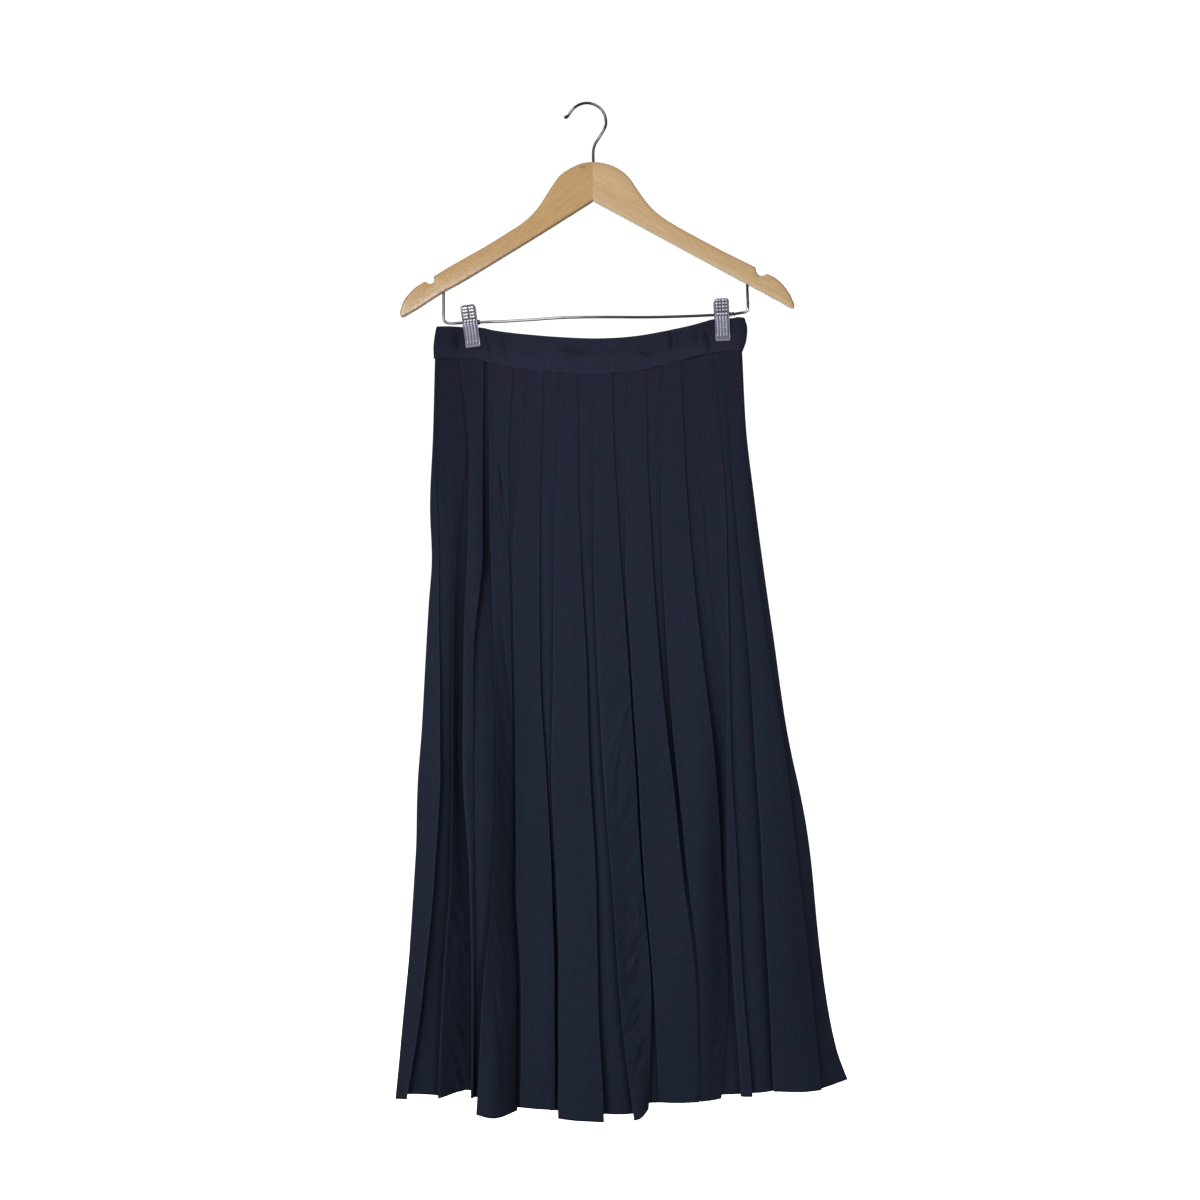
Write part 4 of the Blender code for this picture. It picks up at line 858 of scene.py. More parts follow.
def crepe_material(name, violet, teal, sheen, stitched):
    mat, tree, bsdf = new_material(name)
    link = tree.links.new
    coord = tree.nodes.new("ShaderNodeTexCoord")
    stretch = tree.nodes.new("ShaderNodeMapping")
    stretch.inputs["Scale"].default_value = (1.0, 1.0, 0.5)
    link(coord.outputs["Object"], stretch.inputs["Vector"])
    wide = node(tree, "ShaderNodeTexNoise", Scale=80.0, Detail=5.0,
                Roughness=0.66)
    link(stretch.outputs["Vector"], wide.inputs["Vector"])
    middle = node(tree, "ShaderNodeTexNoise", Scale=270.0, Detail=3.0,
                  Roughness=0.6)
    link(coord.outputs["Object"], middle.inputs["Vector"])
    pebble = node(tree, "ShaderNodeTexNoise", Scale=720.0, Detail=2.0,
                  Roughness=0.6)
    link(coord.outputs["Object"], pebble.inputs["Vector"])
    fine = node(tree, "ShaderNodeTexNoise", Scale=1700.0, Detail=2.0,
                Roughness=0.7)
    link(coord.outputs["Object"], fine.inputs["Vector"])
    # two navies, worn unevenly into each other, the bluer one lower down
    place = tree.nodes.new("ShaderNodeSeparateXYZ")
    link(coord.outputs["Object"], place.inputs["Vector"])
    lower = tree.nodes.new("ShaderNodeMapRange")
    lower.inputs["From Min"].default_value = -0.28
    lower.inputs["From Max"].default_value = -0.62
    lower.inputs["To Min"].default_value = -0.30
    lower.inputs["To Max"].default_value = 0.22
    link(place.outputs["Z"], lower.inputs["Value"])
    hue = tree.nodes.new("ShaderNodeMapRange")
    hue.inputs["From Min"].default_value = 0.36
    hue.inputs["From Max"].default_value = 0.64
    link(wide.outputs["Fac"], hue.inputs["Value"])
    shift = node(tree, "ShaderNodeMath")
    shift.operation = "ADD"
    shift.use_clamp = True
    link(hue.outputs["Result"], shift.inputs[0])
    link(lower.outputs["Result"], shift.inputs[1])
    blend = tree.nodes.new("ShaderNodeMix")
    blend.data_type = "RGBA"
    link(shift.outputs[0], blend.inputs[0])
    blend.inputs[6].default_value = (*violet, 1)
    blend.inputs[7].default_value = (*teal, 1)
    # lighter and darker grains, a painted highlight on the fold edges, painted shade deep in the folds and the
    # painted shade patches
    grains = tree.nodes.new("ShaderNodeMapRange")
    grains.inputs["From Min"].default_value = 0.3
    grains.inputs["From Max"].default_value = 0.7
    grains.inputs["To Min"].default_value = 0.84
    grains.inputs["To Max"].default_value = 1.16
    link(pebble.outputs["Fac"], grains.inputs["Value"])
    patches = tree.nodes.new("ShaderNodeMapRange")
    patches.inputs["From Min"].default_value = 0.3
    patches.inputs["From Max"].default_value = 0.7
    patches.inputs["To Min"].default_value = 0.91
    patches.inputs["To Max"].default_value = 1.09
    link(middle.outputs["Fac"], patches.inputs["Value"])
    tone = node(tree, "ShaderNodeMath")
    tone.operation = "MULTIPLY"
    link(grains.outputs["Result"], tone.inputs[0])
    link(patches.outputs["Result"], tone.inputs[1])
    # painted highlight: the fold edges and pressed ridges up to 45% lighter
    ridge_highlight = tree.nodes.new("ShaderNodeAttribute")
    ridge_highlight.attribute_name = "ridge_highlight"
    lift = tree.nodes.new("ShaderNodeMapRange")
    lift.inputs["To Min"].default_value = 1.0
    lift.inputs["To Max"].default_value = 1.45
    link(ridge_highlight.outputs["Fac"], lift.inputs["Value"])
    # painted shade in the creases and deep in the folds, down to 52%
    fold_shade = tree.nodes.new("ShaderNodeAttribute")
    fold_shade.attribute_name = "fold_shade"
    sink = tree.nodes.new("ShaderNodeMapRange")
    sink.inputs["To Min"].default_value = 1.0
    sink.inputs["To Max"].default_value = 0.52
    link(fold_shade.outputs["Fac"], sink.inputs["Value"])
    both = node(tree, "ShaderNodeMath")
    both.operation = "MULTIPLY"
    link(lift.outputs["Result"], both.inputs[0])
    link(sink.outputs["Result"], both.inputs[1])
    # painted shade patches along the seams, the hem and the valleys
    painted_shade = tree.nodes.new("ShaderNodeAttribute")
    painted_shade.attribute_name = "painted_shade"
    keep = node(tree, "ShaderNodeMath")
    keep.operation = "SUBTRACT"
    keep.inputs[0].default_value = 1.0
    link(painted_shade.outputs["Fac"], keep.inputs[1])
    kept = node(tree, "ShaderNodeMath")
    kept.operation = "MULTIPLY"
    link(both.outputs[0], kept.inputs[0])
    link(keep.outputs[0], kept.inputs[1])
    every = node(tree, "ShaderNodeMath")
    every.operation = "MULTIPLY"
    link(tone.outputs[0], every.inputs[0])
    link(kept.outputs[0], every.inputs[1])
    shade = tree.nodes.new("ShaderNodeVectorMath")
    shade.operation = "SCALE"
    link(blend.outputs[2], shade.inputs[0])
    link(every.outputs[0], shade.inputs["Scale"])
    link(shade.outputs[0], bsdf.inputs["Base Color"])
    rough = tree.nodes.new("ShaderNodeMapRange")
    rough.inputs["To Min"].default_value = 0.74
    rough.inputs["To Max"].default_value = 0.94
    link(pebble.outputs["Fac"], rough.inputs["Value"])
    link(rough.outputs["Result"], bsdf.inputs["Roughness"])
    bsdf.inputs["Specular IOR Level"].default_value = 0.10
    bsdf.inputs["Sheen Weight"].default_value = sheen
    bsdf.inputs["Sheen Roughness"].default_value = 0.45
    bsdf.inputs["Sheen Tint"].default_value = (0.55, 0.62, 0.9, 1)
    rumple = node(tree, "ShaderNodeBump", Strength=0.5, Distance=0.0012)
    creased = tree.nodes.new("ShaderNodeAttribute")
    creased.attribute_name = "creased"
    gain = node(tree, "ShaderNodeMath")
    gain.operation = "MULTIPLY_ADD"
    link(creased.outputs["Fac"], gain.inputs[0])
    gain.inputs[1].default_value = 1.6
    gain.inputs[2].default_value = 0.8
    rise = node(tree, "ShaderNodeMath")
    rise.operation = "MULTIPLY"
    link(middle.outputs["Fac"], rise.inputs[0])
    link(gain.outputs[0], rise.inputs[1])
    link(rise.outputs[0], rumple.inputs["Height"])
    bump = node(tree, "ShaderNodeBump", Strength=0.45, Distance=0.0005)
    link(pebble.outputs["Fac"], bump.inputs["Height"])
    link(rumple.outputs["Normal"], bump.inputs["Normal"])
    grain = node(tree, "ShaderNodeBump", Strength=0.35, Distance=0.0002)
    link(fine.outputs["Fac"], grain.inputs["Height"])
    link(bump.outputs["Normal"], grain.inputs["Normal"])
    last = grain
    if stitched:
        # the hem's stitch line, a shallow dent with a prick at each stitch
        split = tree.nodes.new("ShaderNodeSeparateXYZ")
        link(coord.outputs["UV"], split.inputs["Vector"])
        off = node(tree, "ShaderNodeMath")
        off.operation = "SUBTRACT"
        link(split.outputs["Y"], off.inputs[0])
        off.inputs[1].default_value = HEM_DEEP - 0.0015
        size = node(tree, "ShaderNodeMath")
        size.operation = "ABSOLUTE"
        link(off.outputs[0], size.inputs[0])
        dent = tree.nodes.new("ShaderNodeMapRange")
        dent.interpolation_type = "SMOOTHSTEP"
        dent.inputs["From Min"].default_value = 0.0
        dent.inputs["From Max"].default_value = 0.0014
        link(size.outputs[0], dent.inputs["Value"])
        wave = node(tree, "ShaderNodeMath")
        wave.operation = "MULTIPLY"
        link(split.outputs["X"], wave.inputs[0])
        wave.inputs[1].default_value = 2 * math.pi / 0.0042
        sine = node(tree, "ShaderNodeMath")
        sine.operation = "SINE"
        link(wave.outputs[0], sine.inputs[0])
        prick = tree.nodes.new("ShaderNodeMapRange")
        prick.inputs["From Min"].default_value = -1.0
        prick.inputs["From Max"].default_value = 1.0
        prick.inputs["To Min"].default_value = 0.35
        prick.inputs["To Max"].default_value = 0.0
        link(sine.outputs[0], prick.inputs["Value"])
        less = node(tree, "ShaderNodeMath")
        less.operation = "SUBTRACT"
        less.inputs[0].default_value = 1.0
        link(dent.outputs["Result"], less.inputs[1])
        part = node(tree, "ShaderNodeMath")
        part.operation = "MULTIPLY"
        link(less.outputs[0], part.inputs[0])
        link(prick.outputs["Result"], part.inputs[1])
        total = node(tree, "ShaderNodeMath")
        total.operation = "ADD"
        link(dent.outputs["Result"], total.inputs[0])
        link(part.outputs[0], total.inputs[1])
        seam = node(tree, "ShaderNodeBump", Strength=0.5, Distance=0.0005)
        link(total.outputs[0], seam.inputs["Height"])
        link(grain.outputs["Normal"], seam.inputs["Normal"])
        last = seam
    link(last.outputs["Normal"], bsdf.inputs["Normal"])
    return mat


def wood_material(name, angle, warm, pale, grain_dark, knot, under, bevel_highlight):
    """Clear varnished wood whose grain runs at the given angle."""
    mat, tree, bsdf = new_material(name)
    link = tree.links.new
    coord = tree.nodes.new("ShaderNodeTexCoord")
    turn = tree.nodes.new("ShaderNodeMapping")
    turn.inputs["Rotation"].default_value = (0.0, angle, 0.0)
    link(coord.outputs["Object"], turn.inputs["Vector"])
    long = tree.nodes.new("ShaderNodeMapping")
    long.inputs["Scale"].default_value = (14.0, 260.0, 260.0)
    link(turn.outputs["Vector"], long.inputs["Vector"])
    bands = node(tree, "ShaderNodeTexNoise", Scale=1.0, Detail=5.0,
                 Roughness=0.6, Distortion=0.7)
    link(long.outputs["Vector"], bands.inputs["Vector"])
    streaks = tree.nodes.new("ShaderNodeMapping")
    streaks.inputs["Scale"].default_value = (40.0, 1500.0, 1500.0)
    link(turn.outputs["Vector"], streaks.inputs["Vector"])
    pores = node(tree, "ShaderNodeTexNoise", Scale=1.0, Detail=3.0,
                 Roughness=0.65)
    link(streaks.outputs["Vector"], pores.inputs["Vector"])
    ramp = tree.nodes.new("ShaderNodeValToRGB")
    ramp.color_ramp.elements[0].position = 0.22
    ramp.color_ramp.elements[0].color = (*warm, 1)
    ramp.color_ramp.elements[1].position = 0.78
    ramp.color_ramp.elements[1].color = (*pale, 1)
    link(bands.outputs["Fac"], ramp.inputs["Fac"])
    thin = tree.nodes.new("ShaderNodeMapRange")
    thin.inputs["From Min"].default_value = 0.58
    thin.inputs["From Max"].default_value = 0.75
    thin.inputs["To Max"].default_value = 0.42
    link(pores.outputs["Fac"], thin.inputs["Value"])
    mix = tree.nodes.new("ShaderNodeMix")
    mix.data_type = "RGBA"
    link(thin.outputs["Result"], mix.inputs[0])
    link(ramp.outputs["Color"], mix.inputs[6])
    mix.inputs[7].default_value = (*grain_dark, 1)
    # short flecks, lighter and darker, along the grain
    short = tree.nodes.new("ShaderNodeMapping")
    short.inputs["Scale"].default_value = (90.0, 560.0, 560.0)
    link(turn.outputs["Vector"], short.inputs["Vector"])
    flecks = node(tree, "ShaderNodeTexNoise", Scale=1.0, Detail=4.0,
                  Roughness=0.7)
    link(short.outputs["Vector"], flecks.inputs["Vector"])
    fleck = tree.nodes.new("ShaderNodeMapRange")
    fleck.inputs["From Min"].default_value = 0.28
    fleck.inputs["From Max"].default_value = 0.72
    fleck.inputs["To Min"].default_value = 0.88
    fleck.inputs["To Max"].default_value = 1.11
    link(flecks.outputs["Fac"], fleck.inputs["Value"])
    grained = tree.nodes.new("ShaderNodeVectorMath")
    grained.operation = "SCALE"
    link(mix.outputs[2], grained.inputs[0])
    link(fleck.outputs["Result"], grained.inputs["Scale"])
    colour = grained.outputs[0]
    if knot is not None:
        at = tree.nodes.new("ShaderNodeMapping")
        at.vector_type = "TEXTURE"
        at.inputs["Location"].default_value = (knot[0], knot[1], knot[2])
        at.inputs["Scale"].default_value = (0.0050, 0.02, 0.0018)
        link(coord.outputs["Object"], at.inputs["Vector"])
        ball = tree.nodes.new("ShaderNodeTexGradient")
        ball.gradient_type = "SPHERICAL"
        link(at.outputs["Vector"], ball.inputs["Vector"])
        spot = tree.nodes.new("ShaderNodeMapRange")
        spot.inputs["From Min"].default_value = 0.0
        spot.inputs["From Max"].default_value = 0.5
        spot.inputs["To Max"].default_value = 0.65
        link(ball.outputs["Fac"], spot.inputs["Value"])
        dark = tree.nodes.new("ShaderNodeMix")
        dark.data_type = "RGBA"
        link(spot.outputs["Result"], dark.inputs[0])
        link(colour, dark.inputs[6])
        dark.inputs[7].default_value = (0.13, 0.075, 0.045, 1)
        colour = dark.outputs[2]
    # painted shade on the rim: darker along the upper rim and down the upper face, and along the left arm's
    # lower edge
    rim = tree.nodes.new("ShaderNodeAttribute")
    rim.attribute_name = "rim"
    edge = tree.nodes.new("ShaderNodeMix")
    edge.data_type = "RGBA"
    link(rim.outputs["Fac"], edge.inputs[0])
    link(colour, edge.inputs[6])
    edge.inputs[7].default_value = (0.29, 0.150, 0.040, 1)
    colour = edge.outputs[2]
    # painted light on the lower edge (painted shade on the left arm, a painted pale light on the right) and a
    # painted highlight on the bevel just above it
    for label, tint in (("under", under), ("bevel_highlight", bevel_highlight)):
        share = tree.nodes.new("ShaderNodeAttribute")
        share.attribute_name = label
        tinted = tree.nodes.new("ShaderNodeMix")
        tinted.data_type = "RGBA"
        link(share.outputs["Fac"], tinted.inputs[0])
        link(colour, tinted.inputs[6])
        tinted.inputs[7].default_value = (*tint, 1)
        colour = tinted.outputs[2]
    link(colour, bsdf.inputs["Base Color"])
    rough = tree.nodes.new("ShaderNodeMapRange")
    rough.inputs["To Min"].default_value = 0.34
    rough.inputs["To Max"].default_value = 0.48
    link(bands.outputs["Fac"], rough.inputs["Value"])
    link(rough.outputs["Result"], bsdf.inputs["Roughness"])
    bsdf.inputs["Coat Weight"].default_value = 0.35
    bsdf.inputs["Coat Roughness"].default_value = 0.18
    bump = node(tree, "ShaderNodeBump", Strength=0.035, Distance=0.0002)
    link(pores.outputs["Fac"], bump.inputs["Height"])
    link(bump.outputs["Normal"], bsdf.inputs["Normal"])
    return mat


def metal_material(name, colour, low, high, scale, bump_by, stops=None,
                   rim=None):
    mat, tree, bsdf = new_material(name)
    if rim is not None:
        bsdf.inputs["Specular Tint"].default_value = (*rim, 1)
    link = tree.links.new
    coord = tree.nodes.new("ShaderNodeTexCoord")
    dirt = node(tree, "ShaderNodeTexNoise", Scale=scale, Detail=4.0,
                Roughness=0.6)
    link(coord.outputs["Object"], dirt.inputs["Vector"])
    rough = tree.nodes.new("ShaderNodeMapRange")
    rough.inputs["From Min"].default_value = 0.3
    rough.inputs["From Max"].default_value = 0.7
    rough.inputs["To Min"].default_value = low
    rough.inputs["To Max"].default_value = high
    link(dirt.outputs["Fac"], rough.inputs["Value"])
    link(rough.outputs["Result"], bsdf.inputs["Roughness"])
    ramp = tree.nodes.new("ShaderNodeValToRGB")
    ramp.color_ramp.elements[0].position = 0.3
    ramp.color_ramp.elements[0].color = (*[c * 0.82 for c in colour], 1)
    ramp.color_ramp.elements[1].position = 0.7
    ramp.color_ramp.elements[1].color = (*colour, 1)
    link(dirt.outputs["Fac"], ramp.inputs["Fac"])
    surface = ramp.outputs["Color"]
    if stops is not None:
        # painted reflections: dark in the low places and on the sides, bright painted glints on the high ones
        painted_reflection = tree.nodes.new("ShaderNodeAttribute")
        painted_reflection.attribute_name = "painted_reflection"
        scale_up = tree.nodes.new("ShaderNodeValToRGB")
        line = scale_up.color_ramp.elements
        while len(line) < len(stops):
            line.new(0.5)
        for element, (at, tint) in zip(line, stops):
            element.position = at
            element.color = (*tint, 1)
        link(painted_reflection.outputs["Fac"], scale_up.inputs["Fac"])
        tinted = tree.nodes.new("ShaderNodeMix")
        tinted.data_type = "RGBA"
        tinted.blend_type = "MULTIPLY"
        tinted.inputs[0].default_value = 1.0
        link(surface, tinted.inputs[6])
        link(scale_up.outputs["Color"], tinted.inputs[7])
        surface = tinted.outputs[2]
    link(surface, bsdf.inputs["Base Color"])
    bsdf.inputs["Metallic"].default_value = 1.0
    if bump_by:
        bump = node(tree, "ShaderNodeBump", Strength=bump_by,
                    Distance=0.0002)
        link(dirt.outputs["Fac"], bump.inputs["Height"])
        link(bump.outputs["Normal"], bsdf.inputs["Normal"])
    return mat


CREPE = crepe_material("crepe_navy", (0.0165, 0.0166, 0.0368),
                       (0.0124, 0.0196, 0.0364), 0.05, True)
BAND_CREPE = crepe_material("band_navy", (0.0205, 0.0212, 0.0437),
                            (0.0176, 0.0236, 0.0437), 0.05, False)
# the ramps turn the painted reflection, 0 to 1, into the metal's colour
CHROME = metal_material("chrome", (1.0, 1.0, 1.0), 0.14, 0.24, 300.0, 0, [
    (0.0, (0.020, 0.021, 0.025)), (0.35, (0.10, 0.10, 0.12)),
    (0.7, (0.40, 0.41, 0.46)), (1.0, (0.95, 0.96, 1.0))],
    (0.06, 0.06, 0.07))
STEEL = metal_material("clip_plate", (1.0, 1.0, 1.0), 0.22, 0.34, 900.0,
                       0.04, [
    (0.0, (0.075, 0.075, 0.095)), (0.35, (0.25, 0.245, 0.325)),
    (0.7, (0.52, 0.52, 0.62)), (1.0, (1.0, 1.0, 1.0))],
    (0.5, 0.5, 0.55))
SPRING = metal_material("spring_wire", (0.14, 0.14, 0.16), 0.25, 0.38,
                        600.0, 0)


def arm_angle(a, b):
    pa, pb = drawn(*a), drawn(*b)
    return math.atan2(pb[2] - pa[2], pb[0] - pa[0])


# ------------------------------------------------------------------- cloth
ROWS_FRONT, COLS_FRONT = 200, 396
ROWS_BACK, COLS_BACK = 180, 360

front_faces = [(fold_line(a), fold_line(b), amounts)
               for a, b, *amounts in FACES]
g, thick, uv, toward, marks = make_panel(
    "front", front_section, ROWS_FRONT, COLS_FRONT, front_faces, CREASES,
    CRUMPLED, False, 4.2)
front = shell("skirt_front_cloth", g, thick, uv, CREPE, toward, marks)
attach(front, "root")
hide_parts("skirt_front")

back_faces = [(back_line("L", row[1:7:2]), back_line("R", row[2:7:2]),
               BACK_BULGE) for row in BACK]
g, thick, uv, toward, marks = make_panel(
    "back", back_section, ROWS_BACK, COLS_BACK, back_faces, BACK_CREASES,
    BACK_CRUMPLED, True, 21.7)
back = shell("skirt_back_cloth", g, thick, uv, CREPE, toward, marks)
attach(back, "root")
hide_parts("skirt_back")

# Puckers in the waistband, as creases: mm, half width, the way they run.
BAND_CREASES = [
    ("pucker_a", -1.0, 1.3, ((668, 326), (670.5, 336), (671.5, 344), (670, 352))),
    ("pucker_b",  0.8, 1.5, ((673, 330), (675, 340), (676, 350))),
    ("pucker_c", -0.9, 1.3, ((704, 330), (707, 338), (709, 345), (708.5, 354))),
    ("pucker_d",  0.8, 1.4, ((700, 332), (702, 340), (703, 350))),
    ("pucker_e", -0.5, 1.4, ((694, 330), (697, 338), (699, 345))),
    ("pucker_f",  0.5, 2.4, ((640, 340), (648, 346), (656, 348))),
    ("pucker_g", -0.5, 2.4, ((636, 350), (646, 355), (656, 356))),
    ("pucker_h", -0.5, 2.0, ((500, 336), (504, 346), (507, 360))),
    ("pucker_i",  0.4, 3.0, ((520, 345), (532, 352), (545, 355))),
    ("pucker_j", -0.4, 3.0, ((560, 348), (575, 353), (592, 355))),
    ("pucker_k",  0.4, 2.6, ((600, 346), (612, 350), (626, 349))),
    ("pucker_l", -0.6, 1.8, ((456, 330), (457, 342), (456, 354))),
    ("pucker_m",  0.5, 1.8, ((450, 332), (450, 344), (449, 355))),
    ("pucker_n", -0.6, 1.6, ((485, 332), (488, 344), (492, 358))),
]


def make_band(name, mirror, seed, creases, stations=190):
    """A doubled strip, folded over at the top, as a ring swept along."""
    us = []
    for a, b in zip(WAIST_US[1:-1], WAIST_US[2:-1]):
        n = max(3, int(round((b - a) / 1.7)))
        us += [a + (b - a) * k / n for k in range(n)]
    us.append(WAIST_US[-2])
    # the ring: (fraction down, side) with side +1 outside, -1 inside
    ring = []
    downs = [1.0, 0.994, 0.975] + list(np.linspace(0.94, 0.03, 20))
    ring += [(d, 1.0) for d in downs]
    for a in (35, 65, 90, 115, 145):
        r = math.radians(a)
        ring.append((0.03 - 0.03 * math.sin(r), math.cos(r)))
    ring += [(d, -1.0) for d in np.linspace(0.05, 1.0, 14)]
    rows = []

    def column(kind, u, end=0):
        pts = []
        for down, side in ring:
            low = smooth01((down - 0.55) / 0.45)
            if kind == "in":
                v_top, v_low = waist_at(u, 1), waist_at(u, 2)
                out = waist_at(u, 3) + (waist_at(u, 4) - waist_at(u, 3)) * low
                p = drawn(u, v_top + (v_low - v_top) * down, out)
            else:
                table = END_LEFT_U if end < 0 else END_RIGHT_U
                row = WAIST[0] if end < 0 else WAIST[-1]
                uu = curve_at(END_DROPS, table, float(min(max(down, 0), 1)))
                p = drawn(uu, row[1] + (row[2] - row[1]) * down, 0.0)
                p[1] = -kind * MM
            pts.append((p, side))
        return pts

    columns = [column(0.15, 0, -1), column(0.9, 0, -1), column(1.7, 0, -1)]
    columns += [column("in", u) for u in us]
    columns += [column(1.7, 0, 1), column(0.9, 0, 1), column(0.15, 0, 1)]
    mid = np.array([[p for p, _s in c] for c in columns])
    side = np.array([[s for _p, s in c] for c in columns])
    along = np.gradient(mid, axis=0)
    across = np.stack([along[..., 1], -along[..., 0],
                       np.zeros(along.shape[:2])], 2)
    across /= np.maximum(np.linalg.norm(across, axis=2, keepdims=True), 1e-9)
    u, v = seen(mid)
    lift = crease_lift(u, v, creases) * 1.8
    lift += ripple(mid, (45.0, 10.0, 60.0), seed) * 0.00045
    lift += ripple(mid, (130.0, 20.0, 110.0), seed + 5) * 0.00018
    ends = np.minimum(np.arange(len(columns)),
                      len(columns) - 1 - np.arange(len(columns)))
    lift *= smooth01((ends - 3) / 6.0)[:, None]
    # the clips hold the cloth flat
    for mid_u in (471.8, 722.9):
        lift *= 1 - 0.8 * np.exp(-((u - mid_u) / 8.0) ** 4) * (v < 350)
    g = mid + across * (side * BAND / 2)[..., None]
    g[..., 1] -= lift
    # the lower edge stands a little proud where the seam turns under
    depth = np.array([[d for d, _s in ring]] * len(columns))
    lip = np.exp(-((depth - 0.93) / 0.05) ** 2) * (side > 0) * 0.0001
    g[..., 1] -= lip
    g[..., 1] = np.minimum(g[..., 1], -0.00012)
    if mirror:
        g[..., 1] *= -1
    nr, nc = g.shape[:2]
    faces = []
    for i in range(nr - 1):
        for j in range(nc):
            k = (j + 1) % nc
            f = (i * nc + j, i * nc + k, (i + 1) * nc + k, (i + 1) * nc + j)
            faces.append(f if not mirror else f[::-1])
    first = tuple(range(nc))
    last = tuple(range((nr - 1) * nc, nr * nc))
    faces.append(first[::-1] if not mirror else first)
    faces.append(last if not mirror else last[::-1])
    ob = mesh_from(name, g.reshape(-1, 3), faces, None, BAND_CREPE)
    # the outside of the band takes the painted shade patches and painted shade in the creases' troughs, and is
    # a tone darker toward its top
    drop = np.array([[d for d, _s in ring]] * len(columns))
    upper_tone = 0.16 * (1 - smooth01((drop - 0.25) / 0.6))
    dent = np.clip(-crease_lift(u, v, creases) / MM, 0, 1) * 0.45
    keep = (1 - painted_shade_share(u, v)) * (1 - upper_tone) * (1 - dent)
    shade = ((1 - keep) * (side > 0)).astype(np.float32)
    layer = ob.data.attributes.new("painted_shade", "FLOAT", "POINT")
    layer.data.foreach_set("value", shade.ravel())
    return ob


for nm, cad, mir, seed, cr in (
        ("waistband_front_cloth", "waistband_front", False, 2.3,
         BAND_CREASES),
        ("waistband_back_cloth", "waistband_back", True, 15.1,
         BAND_CREASES[3:])):
    band = make_band(nm, mir, seed, cr)
    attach(band, "root")
    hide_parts(cad)


# ------------------------------------------------------------------ hanger
# Each arm between two rails, from the mitre to the tip: drawing points.
RAILS = {
    "left": {
        "top": [(592.54, 162.2), (582.1, 163.7), (573.7, 167.0),
                (566.7, 170.9), (560.4, 175.6), (555.4, 181.8),
                (550.5, 189.1), (545.6, 196.8), (540.0, 205.6),
                (534.0, 213.0), (527.5, 219.4), (519.5, 225.6),
                (508.0, 232.9), (500.0, 238.0), (485.0, 247.1),
                (470.0, 255.6), (445.0, 270.0), (438.5, 274.1),
                (435.3, 276.0), (433.9, 277.4), (434.7, 280.3),
                (433.3, 283.2), (430.3, 284.1), (427.6, 283.3),
                (425.9, 282.0), (420.5, 284.7), (414.4, 288.8),
                (409.3, 294.2), (404.7, 300.2), (401.6, 307.4),
                (400.2, 313.4), (401.1, 317.0)],
        "under": [(592.54, 202.2), (545.0, 232.3), (500.0, 260.0),
                  (460.0, 284.1), (445.0, 292.2), (407.4, 315.6),
                  (403.6, 317.4), (401.1, 317.0)],
    },
    "right": {
        "top": [(592.58, 162.2), (599.8, 163.1), (608.2, 164.8),
                (616.5, 168.1), (624.2, 173.4), (629.9, 179.2),
                (636.1, 188.2), (643.2, 198.4), (650.0, 206.8),
                (655.6, 212.4), (663.2, 218.2), (672.0, 223.9),
                (686.0, 231.9), (700.0, 239.5), (730.0, 255.2),
                (745.0, 262.6), (753.0, 266.5), (755.7, 268.6),
                (756.2, 271.8), (757.9, 274.7), (760.7, 276.2),
                (763.5, 275.6), (766.2, 274.4), (771.5, 276.2),
                (778.5, 281.0), (785.0, 287.5), (790.0, 295.1),
                (793.2, 302.2), (794.3, 306.4), (793.4, 308.8)],
        "under": [(592.58, 201.5), (640.0, 227.0), (690.0, 254.0),
                  (740.0, 280.9), (785.0, 305.2), (790.8, 308.4),
                  (793.4, 308.8)],
    },
}


def rail_curve(points, n, weight=0.0):
    """n points along a smooth line through points, by length."""
    pts = np.array(points, float)
    cum = [0.0]
    for a, b in zip(pts, pts[1:]):
        cum.append(cum[-1] + float(np.linalg.norm(b - a)))
    fine = np.linspace(0, cum[-1], 1600)
    us = [curve_at(cum, list(pts[:, 0]), s) for s in fine]
    vs = [curve_at(cum, list(pts[:, 1]), s) for s in fine]
    at = np.linspace(0, 1, n)
    at = at + weight * np.sin(np.pi * at) / np.pi
    at = np.clip(at, 0, 1) * cum[-1]
    return np.stack([np.interp(at, fine, us), np.interp(at, fine, vs)], 1)


